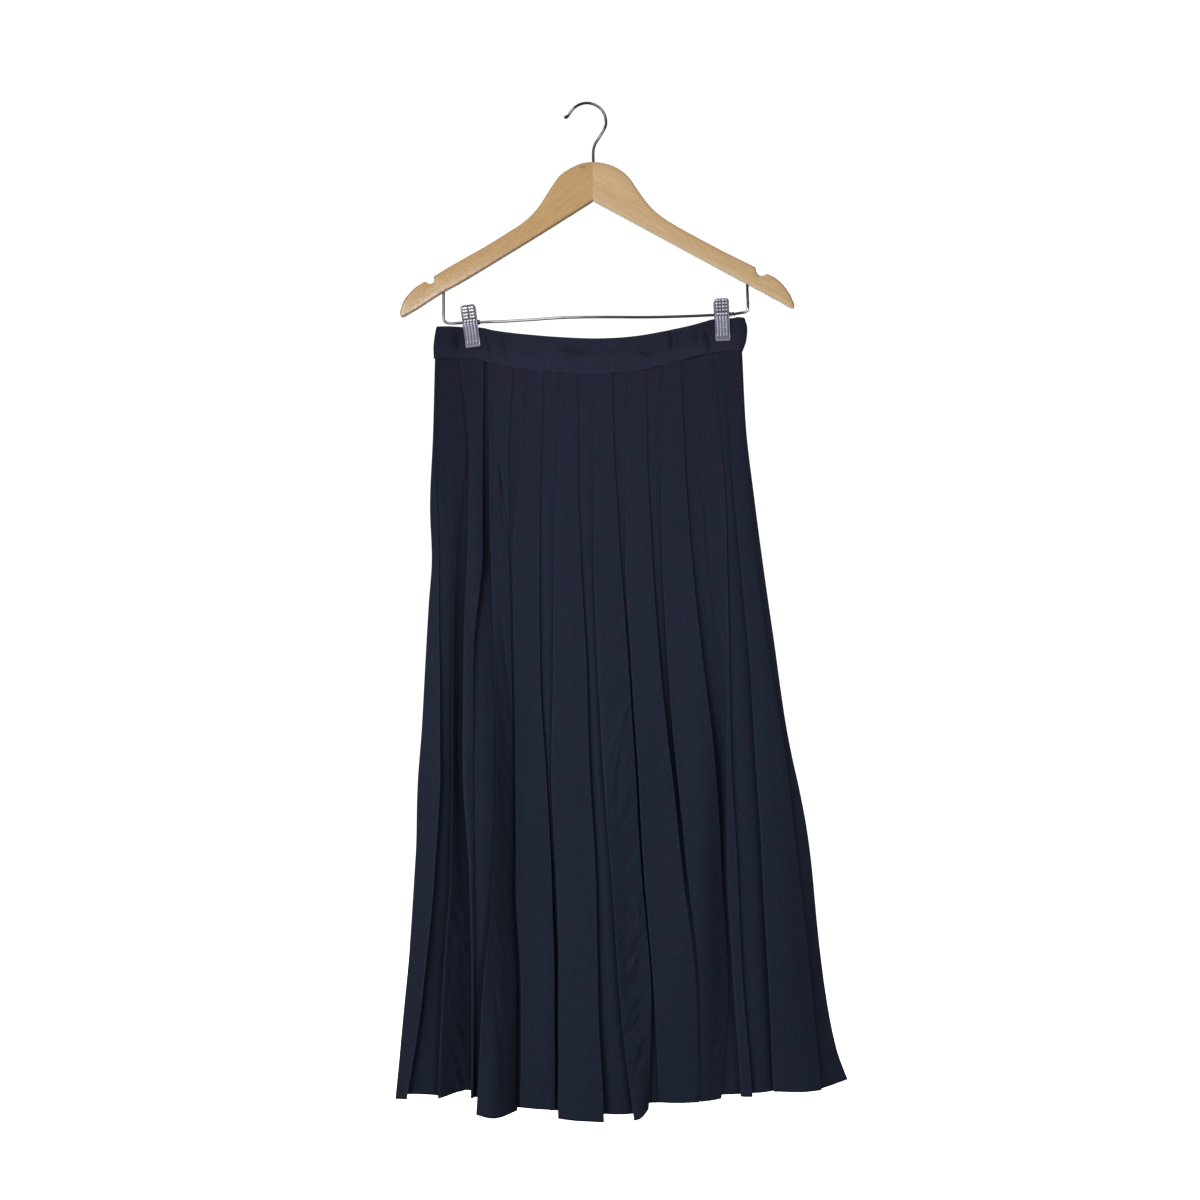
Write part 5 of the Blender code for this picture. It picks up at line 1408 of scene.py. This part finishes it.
def make_arm(name, rails, mat, dark_under):
    n = 300
    top = rail_curve(rails["top"], n)
    under = rail_curve(rails["under"], n)
    # match stations along the arm by how far each lies from the mitre
    ends = [np.array([drawn(u, v) for u, v in line]) for line in (top, under)]
    T, U = ends
    m = 26
    e_mm = np.array([0.0, 0.15, 0.45, 0.9, 1.5, 2.2, 3.0, 4.2, 6.0])
    outline = np.concatenate([T, U[::-1]])[:, [0, 2]]
    seg_a, seg_b = outline[:-1], outline[1:]
    keep = np.linalg.norm(seg_b - seg_a, axis=1) > 1e-7
    seg_a, seg_b = seg_a[keep], seg_b[keep]

    def edge_distance(p):
        d = seg_b - seg_a
        s = ((p[:, None, 0] - seg_a[None, :, 0]) * d[None, :, 0]
             + (p[:, None, 1] - seg_a[None, :, 1]) * d[None, :, 1])
        s = np.clip(s / (d ** 2).sum(1)[None, :], 0, 1)
        q = seg_a[None] + d[None] * s[..., None]
        return np.sqrt(((p[:, None] - q) ** 2).sum(2)).min(1)

    width = np.linalg.norm(T - U, axis=1)
    W = []
    for w in width:
        near = np.minimum(e_mm * MM / max(w, 1e-9), 0.5 * e_mm / e_mm[-1])
        mid = np.linspace(near[-1], 1 - near[-1], m - 2 * len(near) + 2)
        W.append(np.concatenate([near, mid[1:-1], 1 - near[::-1]]))
    W = np.array(W)
    nw = W.shape[1]
    P = T[:, None, :] * (1 - W[..., None]) + U[:, None, :] * W[..., None]
    dist = edge_distance(P.reshape(-1, 3)[:, [0, 2]]).reshape(n, nw)
    dist[:, 0] = 0
    dist[:, -1] = 0
    R = WOOD_R
    e = np.minimum(dist, R)
    half = WOOD_T / 2 - R + np.sqrt(np.maximum(R * R - (R - e) ** 2, 0))
    crown = 0.0004 * smooth01(dist / 0.012)
    half = half - 0.0004 + crown
    front_g, back_g = P.copy(), P.copy()
    front_g[..., 1] = -half
    back_g[..., 1] = half
    verts = np.concatenate([front_g.reshape(-1, 3), back_g.reshape(-1, 3)])
    N = n * nw
    faces = []
    for i in range(n - 1):
        for j in range(nw - 1):
            a = i * nw + j
            f = (a, a + 1, a + nw + 1, a + nw)
            faces.append(f)
            faces.append(tuple(x + N for x in f[::-1]))
    for i in range(n - 1):
        a, b = i * nw, (i + 1) * nw
        faces.append((a, b, b + N, a + N))
        a, b = i * nw + nw - 1, (i + 1) * nw + nw - 1
        faces.append((b, a, a + N, b + N))
    for j in range(nw - 1):
        a, b = j, j + 1
        faces.append((b, a, a + N, b + N))
        a, b = (n - 1) * nw + j, (n - 1) * nw + j + 1
        faces.append((a, b, b + N, a + N))
    ob = mesh_from(name, verts, faces, None, mat)
    me = ob.data
    rim = me.attributes.new("rim", "FLOAT", "POINT")
    # painted shade: darker on the upper rim and the sides, fading over the rounding
    upper = np.exp(-(np.linalg.norm(P - T[:, None, :], axis=2) / 0.0022) ** 2)
    lower = np.exp(-(np.linalg.norm(P - U[:, None, :], axis=2) / 0.0009) ** 2)
    wide = np.exp(-(np.linalg.norm(P - T[:, None, :], axis=2) / 0.011) ** 2)
    value = np.clip(0.80 * upper + 0.16 * wide
                    + (0.40 * lower if dark_under else 0), 0, 1).ravel()
    rim.data.foreach_set("value", np.concatenate([value, value]))
    low = np.linalg.norm(P - U[:, None, :], axis=2)
    out_along = (592.5 - seen(P)[0]) / 190.0
    # painted shade and a speckled painted bevel highlight on the left arm; a painted pale light and a painted
    # bevel highlight on the right
    if dark_under:
        under = 0.80 * np.exp(-(low / 0.0011) ** 2)
        reach = 0.10 + 0.80 * smooth01((out_along - 0.30) / 0.60)
        spots = np.array([noise.noise(Vector((x * 330.0, z * 330.0, 5.1)))
                          for x, z in P.reshape(-1, 3)[:, [0, 2]]])
        spots = 0.72 + 0.6 * spots.reshape(low.shape)
        bevel_highlight = reach * spots * (
            0.36 * np.exp(-((low - 0.0050) / 0.0060) ** 2)
            + 0.62 * np.exp(-((low - 0.0028) / 0.0011) ** 2))
    else:
        under = 1.0 * np.exp(-(low / 0.0016) ** 4)
        bevel_highlight = 0.40 * np.exp(-((low - 0.0026) / 0.0014) ** 2)
    for label, grid in (("under", under), ("bevel_highlight", bevel_highlight)):
        layer = me.attributes.new(label, "FLOAT", "POINT")
        behind = grid if dark_under else grid * 0
        layer.data.foreach_set("value", np.concatenate(
            [grid.ravel(), behind.ravel()]).astype(np.float32))
    bm_fix(me)
    me.set_sharp_from_angle(angle=math.radians(50))
    return ob


def bm_fix(me):
    """Merge coincident points and turn all faces outward."""
    import bmesh
    bm = bmesh.new()
    bm.from_mesh(me)
    bmesh.ops.remove_doubles(bm, verts=bm.verts, dist=1e-6)
    bmesh.ops.dissolve_degenerate(bm, dist=1e-7, edges=bm.edges)
    bmesh.ops.recalc_face_normals(bm, faces=bm.faces)
    if bm.calc_volume(signed=True) < 0:
        bmesh.ops.reverse_faces(bm, faces=bm.faces)
    bm.to_mesh(me)
    bm.free()
    me.shade_smooth()


angle_l = arm_angle((592, 182), (430, 300))
angle_r = arm_angle((593, 182), (770, 290))
knot = drawn(583.0, 168.2)
# the last two colours: painted shade or light on the lower edge, and the painted bevel highlight
WOOD_LEFT = wood_material("wood_left", angle_l, (0.475, 0.266, 0.082),
                          (0.535, 0.322, 0.117), (0.36, 0.19, 0.06),
                          (knot[0], -0.006, knot[2]),
                          (0.36, 0.25, 0.18), (0.93, 0.80, 0.70))
WOOD_RIGHT = wood_material("wood_right", angle_r, (0.535, 0.341, 0.150),
                           (0.605, 0.410, 0.205), (0.42, 0.25, 0.11), None,
                           (0.86, 0.69, 0.46), (0.68, 0.50, 0.30))
for side, mat in (("left", WOOD_LEFT), ("right", WOOD_RIGHT)):
    arm = make_arm("wood_arm_" + side, RAILS[side], mat, side == "left")
    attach(arm, "root")
    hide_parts("hanger_arm_" + side)


# ------------------------------------------------------------------- wires
HOOK = [
    ("stem", 593.3, 163.0), ("stem", 593.2, 154.0), ("bend", 593.7, 148.5),
    ("bend", 595.6, 143.2), ("rise", 599.6, 137.0), ("rise", 603.2, 131.2),
    ("arc",  605.5, 126.2), ("arc", 606.0, 121.4), ("arc", 604.6, 114.8),
    ("arc",  600.8, 108.9), ("arc", 595.0, 104.8), ("seat", 588.0, 103.05),
    ("arc",  581.2, 103.9), ("arc", 575.4, 106.9), ("fall", 571.4, 111.0),
    ("fall", 568.8, 114.8), ("tip", 566.8, 116.8), ("tip", 564.0, 117.5),
]
BAR = [
    ("post",  443.6, 293.8), ("post", 443.6, 306.0), ("post", 443.6, 317.0),
    ("bend",  444.5, 321.0), ("bend", 447.4, 322.9), ("run", 452.5, 323.4),
    ("run",   462.0, 322.9), ("run", 471.0, 322.5), ("run", 481.0, 322.2),
    ("run",   496.0, 321.6), ("run", 508.0, 321.2), ("run", 520.0, 320.4),
    ("run",   534.0, 319.6), ("run", 548.0, 318.5), ("run", 571.0, 317.4),
    ("run",   604.0, 317.0), ("run", 640.0, 317.2), ("run", 664.0, 316.9),
    ("run",   690.0, 316.1), ("run", 713.0, 315.1), ("run", 722.5, 314.7),
    ("run",   732.0, 314.2), ("run", 741.0, 312.9), ("bend", 745.2, 312.2),
    ("bend",  747.5, 310.6), ("post", 748.0, 306.5), ("post", 747.6, 296.0),
    ("post",  747.3, 286.4),
]


def smooth_line(points, step):
    """Points along a smooth curve through the given ones."""
    points = [np.asarray(p, float) for p in points]
    ps = [points[0] * 2 - points[1]] + points + [points[-1] * 2 - points[-2]]
    line = []
    for i in range(1, len(ps) - 2):
        a, b, c, d = ps[i - 1:i + 3]
        n = max(1, round(float(np.linalg.norm(c - b)) / step))
        for k in range(n):
            s = k / n
            line.append(0.5 * ((2 * b) + (c - a) * s
                               + (2 * a - 5 * b + 4 * c - d) * s * s
                               + (3 * b - a - 3 * c + d) * s ** 3))
    line.append(points[-1])
    return line


def tube(name, line, radius, mat, sides=20, flat=None, bright=None):
    """A round tube along line; radius is a number or one for each point."""
    line = np.array(line)
    n = len(line)
    rad = np.full(n, radius) if np.isscalar(radius) else np.asarray(radius)
    tangent = np.gradient(line, axis=0)
    tangent /= np.linalg.norm(tangent, axis=1, keepdims=True)
    ref = np.array((0.0, 1.0, 0.0))
    if abs(tangent[0] @ ref) > 0.9:
        ref = np.array((1.0, 0.0, 0.0))
    verts, faces = [], []
    side = np.cross(tangent[0], ref)
    for i in range(n):
        side = side - tangent[i] * (side @ tangent[i])
        side /= np.linalg.norm(side)
        up = np.cross(side, tangent[i])
        for k in range(sides):
            a = 2 * math.pi * k / sides
            wide = 1.0 if flat is None else flat[i]
            verts.append(line[i] + rad[i] * (side * math.cos(a) * wide
                                             + up * math.sin(a) / wide))
    for i in range(n - 1):
        for k in range(sides):
            m = (k + 1) % sides
            faces.append((i * sides + k, i * sides + m,
                          (i + 1) * sides + m, (i + 1) * sides + k))
    faces.append(tuple(range(sides)))
    faces.append(tuple(range((n - 1) * sides, n * sides)))
    ob = mesh_from(name, verts, faces, None, mat)
    if bright is not None:
        # painted reflection: bright on the face toward the front, dark on the sides
        centre = np.repeat(line, sides, axis=0)
        out = np.array(verts) - centre
        out /= np.maximum(np.linalg.norm(out, axis=1, keepdims=True), 1e-9)
        face = smooth01((np.abs(out[:, 1]) - 0.55) / 0.4)
        value = np.repeat(np.asarray(bright), sides) * (0.12 + 0.88 * face)
        layer = ob.data.attributes.new("painted_reflection", "FLOAT", "POINT")
        layer.data.foreach_set("value", value.astype(np.float32))
    bm_fix(ob.data)
    ob.data.set_sharp_from_angle(angle=math.radians(60))
    return ob


def brightness(line, table):
    """How bright the painted reflection is at each point of a wire, from places along it."""
    at = np.array([(u, v) for u, v, _b in table], float)
    pts = np.stack(seen(np.array(line)), 1)
    gap = ((pts[:, None] - at[None]) ** 2).sum(2)
    weight = 1 / (gap + 6.0) ** 2
    return (weight * np.array([b for _u, _v, b in table])).sum(1) / (
        weight.sum(1))


HOOK_PAINTED_GLINT = [
    # u      v     painted glint
    (593.3, 160.0, 0.12), (593.4, 150.0, 0.25), (595.4, 143.6, 0.45),
    (599.6, 137.0, 0.75), (602.8, 131.6, 0.70), (605.5, 126.4, 0.15),
    (606.0, 121.0, 0.10), (604.4, 114.5, 0.40), (600.8, 108.9, 0.60),
    (595.0, 104.8, 0.55), (588.0, 103.0, 0.20), (581.2, 103.9, 0.08),
    (576.4, 106.0, 0.20), (572.4, 110.0, 0.80), (569.6, 113.6, 0.75),
    (567.2, 116.6, 0.15), (564.0, 117.5, 0.10),
]
BAR_PAINTED_GLINT = [
    (443.6, 296.0, 0.36), (443.6, 312.0, 0.40), (444.6, 321.0, 0.60),
    (450.0, 323.0, 0.80), (460.0, 323.0, 0.45), (485.0, 321.8, 0.65),
    (500.0, 321.6, 0.90), (520.0, 320.4, 0.95), (548.0, 318.5, 0.95),
    (571.0, 317.4, 0.80), (590.0, 317.0, 0.60), (610.0, 317.0, 0.40),
    (640.0, 317.2, 0.30), (665.0, 316.9, 0.30), (690.0, 316.1, 0.22),
    (713.0, 315.1, 0.20), (734.0, 314.0, 0.12), (741.0, 312.9, 0.30),
    (747.2, 311.0, 1.00), (748.0, 305.0, 0.10), (747.6, 288.0, 0.00),
]
hook_pts = [drawn(u, v) for _p, u, v in HOOK]
stem = hook_pts[0] + np.array((0, 0, -0.022))
line = [stem, hook_pts[0] + np.array((0, 0, -0.006))] + smooth_line(
    hook_pts, 0.0012)
rad = np.full(len(line), HOOK_WIRE / 2)
# the end is nipped off and rounded
for k, f in ((-1, 0.55), (-2, 1.15), (-3, 1.35), (-4, 1.25), (-5, 1.1)):
    rad[k] *= f
hook = tube("hook_wire", line, rad, CHROME,
            bright=brightness(line, HOOK_PAINTED_GLINT))
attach(hook, "root")
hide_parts("hanger_hook")

bar_pts = [drawn(u, v) for _p, u, v in BAR]
line = [bar_pts[0] + np.array((0, 0, 0.008))] + smooth_line(
    bar_pts, 0.0025) + [bar_pts[-1] + np.array((0, 0, 0.008))]
bar = tube("bar_wire", line, BAR_WIRE / 2, CHROME, sides=16,
           bright=brightness(line, BAR_PAINTED_GLINT))
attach(bar, "root")
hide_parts("hanger_bar")


# ------------------------------------------------------------------- clips
CLIPS = [
    # name         top_u  top_v  foot_u foot_v
    ("clip_left",  467.9, 305.8, 473.4, 347.2),
    ("clip_right", 720.9, 299.3, 722.9, 340.8),
]
# How far each spring's loose end shows past its plates, and how much the
# painted highlight on each grip bar of the front plate is dimmed in the middle.
TAILS = {"clip_left": 0.0108, "clip_right": 0.0140}
BAR_GLINT_GAPS = {"clip_left": 0.15, "clip_right": 0.85}
PLATE_DOWN = [0.0, 0.0040, 0.0120, 0.0180, 0.0235, 0.0330, 0.0400, 0.0445,
              0.0478]
PLATE_OUT = [0.0072, 0.0072, 0.0064, 0.0052, 0.0048, 0.0036, 0.0027, 0.0026,
             0.0034]
# The stamped grip: how far down each row of bars lies, and then the row of
# small squares where the flutes begin.
GRIPS = {"clip_left": ((0.0034, 0.0068, 0.0106, 0.0140), 0.0176),
         "clip_right": ((0.0020, 0.0056, 0.0093, 0.0130), 0.0170)}
# How bright the painted glint on the flutes is on the way down the plate.
FLUTE_DOWN = (0.018, 0.020, 0.024, 0.030, 0.037, 0.041, 0.044)
FLUTE_GLINT = (0.20, 0.26, 0.40, 0.48, 0.42, 0.26, 0.22)
GRIP_BARS = (-0.0036, 0.0036)
FLUTES = (-0.0049, -0.00163, 0.00163, 0.0049)


def painted_plate_glint(a, d, half, which):
    """How bright the painted reflection is at each place on a plate, 0 to 1."""
    dent = BAR_GLINT_GAPS[which]
    rows, cells = GRIPS[which]
    inside = (smooth01((half - np.abs(a) - 0.0007) / 0.0004)
              * smooth01((d - 0.0008) / 0.0004))
    p = np.full(a.shape, 0.10)
    for row in rows:
        for bar_at in GRIP_BARS:
            fx = smooth01((0.0030 - np.abs(a - bar_at)) / 0.0006)
            fy = smooth01((0.00125 - np.abs(d - row)) / 0.00040)
            # the painted highlight dims in the middle of each bar
            mid = 1 - dent * np.exp(-((a - bar_at) / 0.0007) ** 2)
            p = np.maximum(p, (1.0 - 0.20 * dent) * fx * fy * mid * inside)
    down = np.interp(d, FLUTE_DOWN, FLUTE_GLINT)
    for at in FLUTES:
        cell = (smooth01((0.0013 - np.abs(a - at)) / 0.0004)
                * smooth01((0.0011 - np.abs(d - cells)) / 0.0004))
        p = np.maximum(p, cell)
        run = smooth01((d - cells - 0.0011) / 0.0008)
        ridge = np.clip(1 - (np.abs(a - at) / 0.00163) ** 4, 0, 1)
        tilt = 1.0 - 0.26 * np.sin((a - at) / 0.00163 * 2.2)
        p = np.maximum(p, run * ridge * tilt * down)
    # a painted highlight on the turned sides, brighter on one
    side = smooth01((np.abs(a) - (CLIP_W / 2 - 0.0014)) / 0.0006)
    p = np.maximum(p, side * np.where(a > 0, 0.50, 0.32)
                   * smooth01((d - 0.003) / 0.003))
    foot = smooth01((d - (CLIP_L - 0.0030)) / 0.0008)
    return np.clip(p * (1 - foot) + 0.36 * foot, 0, 1)


def stamp(a, d, which):
    """Raised pattern on a clip plate: across a, down d, in metres."""
    rows, cells = GRIPS[which]
    h = np.zeros_like(a)
    for row in rows:
        for bar_at in GRIP_BARS:
            fx = smooth01((0.0030 - np.abs(a - bar_at)) / 0.0008)
            fy = smooth01((0.00130 - np.abs(d - row)) / 0.0007)
            dip = 1 - 0.35 * np.exp(-((a - bar_at) / 0.0006) ** 2)
            h = np.maximum(h, 0.00036 * fx * fy * dip)
    for at in FLUTES:
        cell = (smooth01((0.0013 - np.abs(a - at)) / 0.0007)
                * smooth01((0.0012 - np.abs(d - cells)) / 0.0006))
        h = np.maximum(h, 0.00034 * cell)
        run = (smooth01((d - cells - 0.0008) / 0.0030)
               * smooth01((0.0446 - d) / 0.0040))
        ridge = np.clip(np.cos((a - at) / 0.00163 * math.pi / 2), 0, 1) ** 1.2
        ridge = np.where(np.abs(a - at) < 0.00163, ridge, 0)
        h = np.maximum(h, 0.00034 * run * ridge)
    # a turned lip along the sides and the foot
    side_lip = smooth01((np.abs(a) - (CLIP_W / 2 - 0.0012)) / 0.0008)
    h = np.maximum(h, 0.00030 * side_lip * smooth01((d - 0.018) / 0.002))
    foot = smooth01((d - (CLIP_L - 0.0025)) / 0.0008)
    h = np.maximum(h, 0.00030 * foot)
    return h


def make_plate(name, clip, side, mat, na, nd):
    _n, tu, tv, fu, fv = clip
    top, foot = drawn(tu, tv), drawn(fu, fv)
    along = (foot - top) / np.linalg.norm(foot - top)
    across = np.array((-along[2], 0.0, along[0]))
    if across[0] < 0:
        across = -across
    outward = np.array((0.0, float(side), 0.0))
    d = np.linspace(0, 1, nd)
    d = (d - 0.02 * np.sin(2 * math.pi * d)) * CLIP_L
    corner = 0.0030
    half = np.full(nd, CLIP_W / 2)
    near = d < corner
    half[near] -= corner - np.sqrt(corner ** 2 - (corner - d[near]) ** 2)
    foot_r = 0.0009
    near = d > CLIP_L - foot_r
    half[near] -= foot_r - np.sqrt(np.maximum(
        foot_r ** 2 - (foot_r - (CLIP_L - d[near])) ** 2, 0))
    s = np.linspace(-1, 1, na)
    A = s[None, :] * half[:, None]
    D = np.repeat(d[:, None], na, 1)
    base = np.array([curve_at(PLATE_DOWN, PLATE_OUT, float(x)) for x in d])
    # a gentle roll back at the sides
    roll = 0.0005 * np.clip((np.abs(A) - (CLIP_W / 2 - 0.0014)) / 0.0014,
                            0, 1) ** 2
    O = base[:, None] + CLIP_T / 2 + stamp(A, D, clip[0]) - roll
    I = base[:, None] - CLIP_T / 2 + stamp(A, D, clip[0]) * 0.6 - roll

    def place(off):
        return (top + along * D[..., None] + outward * off[..., None]
                + across * A[..., None])
    outer, inner = place(O), place(I)
    verts = np.concatenate([outer.reshape(-1, 3), inner.reshape(-1, 3)])
    N = nd * na
    faces = []
    for i in range(nd - 1):
        for j in range(na - 1):
            a = i * na + j
            f = (a, a + 1, a + na + 1, a + na)
            faces.append(f)
            faces.append(tuple(x + N for x in f[::-1]))
    for i in range(nd - 1):
        a, b = i * na, (i + 1) * na
        faces.append((a, b, b + N, a + N))
        a, b = i * na + na - 1, (i + 1) * na + na - 1
        faces.append((b, a, a + N, b + N))
    for j in range(na - 1):
        a = j
        faces.append((a + 1, a, a + N, a + 1 + N))
        a = (nd - 1) * na + j
        faces.append((a, a + 1, a + 1 + N, a + N))
    # two ears that reach back to the bar, one at each side
    ear_base = len(verts)
    extra, ear_faces = [], []
    pivot = top + along * CLIP_PIVOT
    inset = 0.0 if side < 0 else 0.0010
    for hand in (-1.0, 1.0):
        x0 = hand * (CLIP_W / 2 - 0.0003 - inset)
        x1 = x0 - hand * 0.0008
        prof = []
        for k in range(15):
            r = math.radians(-90 + 180 * k / 14)
            prof.append((CLIP_PIVOT + 0.0034 * math.sin(r),
                         -0.0034 * math.cos(r) * 0.62))
        prof = [(CLIP_PIVOT - 0.0042, 0.0052)] + prof + [
            (CLIP_PIVOT + 0.0048, 0.0046)]
        start = ear_base + len(extra)
        for x in (x0, x1):
            for dd, oo in prof:
                extra.append(top + along * dd + outward * oo + across * x)
        m = len(prof)
        ring_a = list(range(start, start + m))
        ring_b = list(range(start + m, start + 2 * m))
        ear_faces.append(tuple(ring_a))
        ear_faces.append(tuple(ring_b[::-1]))
        for k in range(m):
            q = (k + 1) % m
            ear_faces.append((ring_a[k], ring_b[k], ring_b[q], ring_a[q]))
    # painted reflection on the outer face, flat levels on the inner face and the ears
    shine = painted_plate_glint(A, D, half[:, None], clip[0]).ravel()
    shine = np.concatenate([shine, np.full(N, 0.3),
                            np.full(len(extra), 0.5)]).astype(np.float32)
    verts = np.concatenate([verts, np.array(extra)])
    ob = mesh_from(name, verts, faces + ear_faces, None, mat)
    layer = ob.data.attributes.new("painted_reflection", "FLOAT", "POINT")
    layer.data.foreach_set("value", shine)
    bm_fix(ob.data)
    ob.data.set_sharp_from_angle(angle=math.radians(60))
    return ob


def make_spring(name, clip, mat):
    """A coil round the bar between the plates, with a leg at one end and the loose end wound on round the bar.
    """
    _n, tu, tv, fu, fv = clip
    top, foot = drawn(tu, tv), drawn(fu, fv)
    pivot_u = tu + (fu - tu) * CLIP_PIVOT / CLIP_L
    rows = [row for row in BAR if abs(row[1] - pivot_u) < 26]
    pu, pv = [r[1] for r in rows], [r[2] for r in rows]
    half = 0.0062
    a = drawn(pivot_u - half / UNIT,
              curve_at(pu, pv, pivot_u - half / UNIT))
    b = drawn(pivot_u + half / UNIT,
              curve_at(pu, pv, pivot_u + half / UNIT))
    axis = (b - a) / np.linalg.norm(b - a)
    e1 = np.array((0.0, 1.0, 0.0))
    e2 = np.cross(axis, e1)
    turns, wire_r, coil_r = 7.5, 0.00055, 0.0026
    line = []
    n = int(turns * 22)
    for k in range(n + 1):
        s = k / n
        ang = 2 * math.pi * turns * s + math.pi / 2
        line.append(a + (b - a) * s + coil_r * (e1 * math.cos(ang)
                                                + e2 * math.sin(ang)))
    down = -(foot - top) / np.linalg.norm(foot - top)
    first = line[0]
    leg = 0.009
    # the loose end winds on round the bar, past the plates
    tail = TAILS[clip[0]]
    more = 5
    for k in range(1, more * 22 + 1):
        s = k / (more * 22)
        ang = 2 * math.pi * (turns + more * s) + math.pi / 2
        r = coil_r + (0.0022 - coil_r) * min(1.0, s * 3)
        line.append(b + axis * (tail - half) * s
                    + r * (e1 * math.cos(ang) + e2 * math.sin(ang)))
    line = [first + down * leg + e1 * 0.0015] + line
    coil = tube(name, line, wire_r, mat, sides=10)
    return coil


for clip in CLIPS:
    nm = clip[0]
    f = make_plate(nm + "_front_plate", clip, -1, STEEL, 66, 150)
    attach(f, "root")
    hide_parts(nm + "_front")
    b = make_plate(nm + "_back_plate", clip, 1, STEEL, 66, 150)
    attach(b, "root")
    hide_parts(nm + "_back")
    s = make_spring(nm + "_coil", clip, SPRING)
    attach(s, "root")
    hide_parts(nm + "_spring")


# ------------------------------------------------------------------- stage
def stage_material():
    mat, tree, bsdf = new_material("pale_floor")
    bsdf.inputs["Base Color"].default_value = (0.92, 0.92, 0.92, 1)
    bsdf.inputs["Roughness"].default_value = 0.95
    bsdf.inputs["Specular IOR Level"].default_value = 0.0
    bsdf.inputs["Emission Color"].default_value = (1, 1, 1, 1)
    bsdf.inputs["Emission Strength"].default_value = 0.75
    return mat


# A wide level floor well under the hem; the studio round it is white.
FLOOR_Z, FLOOR_HALF = -1.46, 14.0
corners = [(x * FLOOR_HALF, y * FLOOR_HALF, FLOOR_Z)
           for x, y in ((-1, -1), (1, -1), (1, 1), (-1, 1))]
stage = mesh_from("pale_floor", corners, [(0, 1, 2, 3)], None,
                  stage_material())
stage.visible_diffuse = False
stage.visible_glossy = False

# A soft studio dome: brightest up and to the front left, dim elsewhere.
DOME_FROM = Vector((-0.36, -0.76, 0.36)).normalized()
DOME_DIM, DOME_BRIGHT = 0.125, 0.90

world = bpy.data.worlds.new("studio")
bpy.context.scene.world = world
world.use_nodes = True
wt = world.node_tree
wc = wt.nodes.new("ShaderNodeTexCoord")
wd = wt.nodes.new("ShaderNodeVectorMath")
wd.operation = "DOT_PRODUCT"
wd.inputs[1].default_value = DOME_FROM
wt.links.new(wc.outputs["Generated"], wd.inputs[0])
wm = wt.nodes.new("ShaderNodeMapRange")
wm.interpolation_type = "SMOOTHSTEP"
wm.inputs["From Min"].default_value = -0.35
wm.inputs["From Max"].default_value = 0.95
wm.inputs["To Min"].default_value = DOME_DIM
wm.inputs["To Max"].default_value = DOME_BRIGHT
wt.links.new(wd.outputs["Value"], wm.inputs["Value"])
# seen straight on, the studio is plain white; it lights with the dome
path = wt.nodes.new("ShaderNodeLightPath")
seen_or_lit = wt.nodes.new("ShaderNodeMix")
seen_or_lit.data_type = "FLOAT"
wt.links.new(path.outputs["Is Camera Ray"], seen_or_lit.inputs[0])
wt.links.new(wm.outputs["Result"], seen_or_lit.inputs[2])
seen_or_lit.inputs[3].default_value = 1.1
wt.links.new(seen_or_lit.outputs[0],
             wt.nodes["Background"].inputs["Strength"])
wt.nodes["Background"].inputs["Color"].default_value = (1.0, 1.0, 1.0, 1)


def area(name, at, aim, size, power, colour=(1, 1, 1)):
    data = bpy.data.lights.new(name, "AREA")
    data.shape = "RECTANGLE"
    data.size, data.size_y = size
    data.energy = power
    data.color = colour
    ob = bpy.data.objects.new(name, data)
    bpy.context.scene.collection.objects.link(ob)
    ob.location = at
    ob.rotation_euler = (Vector(aim) - Vector(at)).to_track_quat(
        "-Z", "Y").to_euler()
    return ob


area("key", (-1.05, -2.1, 0.25), (0.03, 0.0, -0.5), (0.6, 0.9), 17.5)
area("fill", (1.9, -2.6, 0.0), (0.0, 0.0, -0.6), (1.6, 1.6), 2.4)
area("top", (0.0, 0.2, 1.9), (0.0, 1.5, -0.8), (3.0, 0.6), 30.0)
# the back is lit as softly as the front, from its own upper left
area("back_key", (1.0, 2.3, 0.25), (0.0, 0.0, -0.5), (0.7, 1.0), 34.0)
area("back_fill", (-0.5, 2.9, -0.5), (0.0, 0.0, -0.55), (2.2, 2.2), 33.0)

cam_data = bpy.data.cameras.new("camera")
cam_data.sensor_width = 36.0
cam_data.lens = 36.0 * EYE / (1200 * UNIT)
cam = bpy.data.objects.new("camera", cam_data)
bpy.context.scene.collection.objects.link(cam)
cam.location = ((600.0 - HOOK_U) * UNIT, -EYE, -(600.0 - HOOK_V) * UNIT)
cam.rotation_euler = (math.radians(90), 0, 0)
bpy.context.scene.camera = cam
bpy.context.scene.view_settings.view_transform = "Standard"
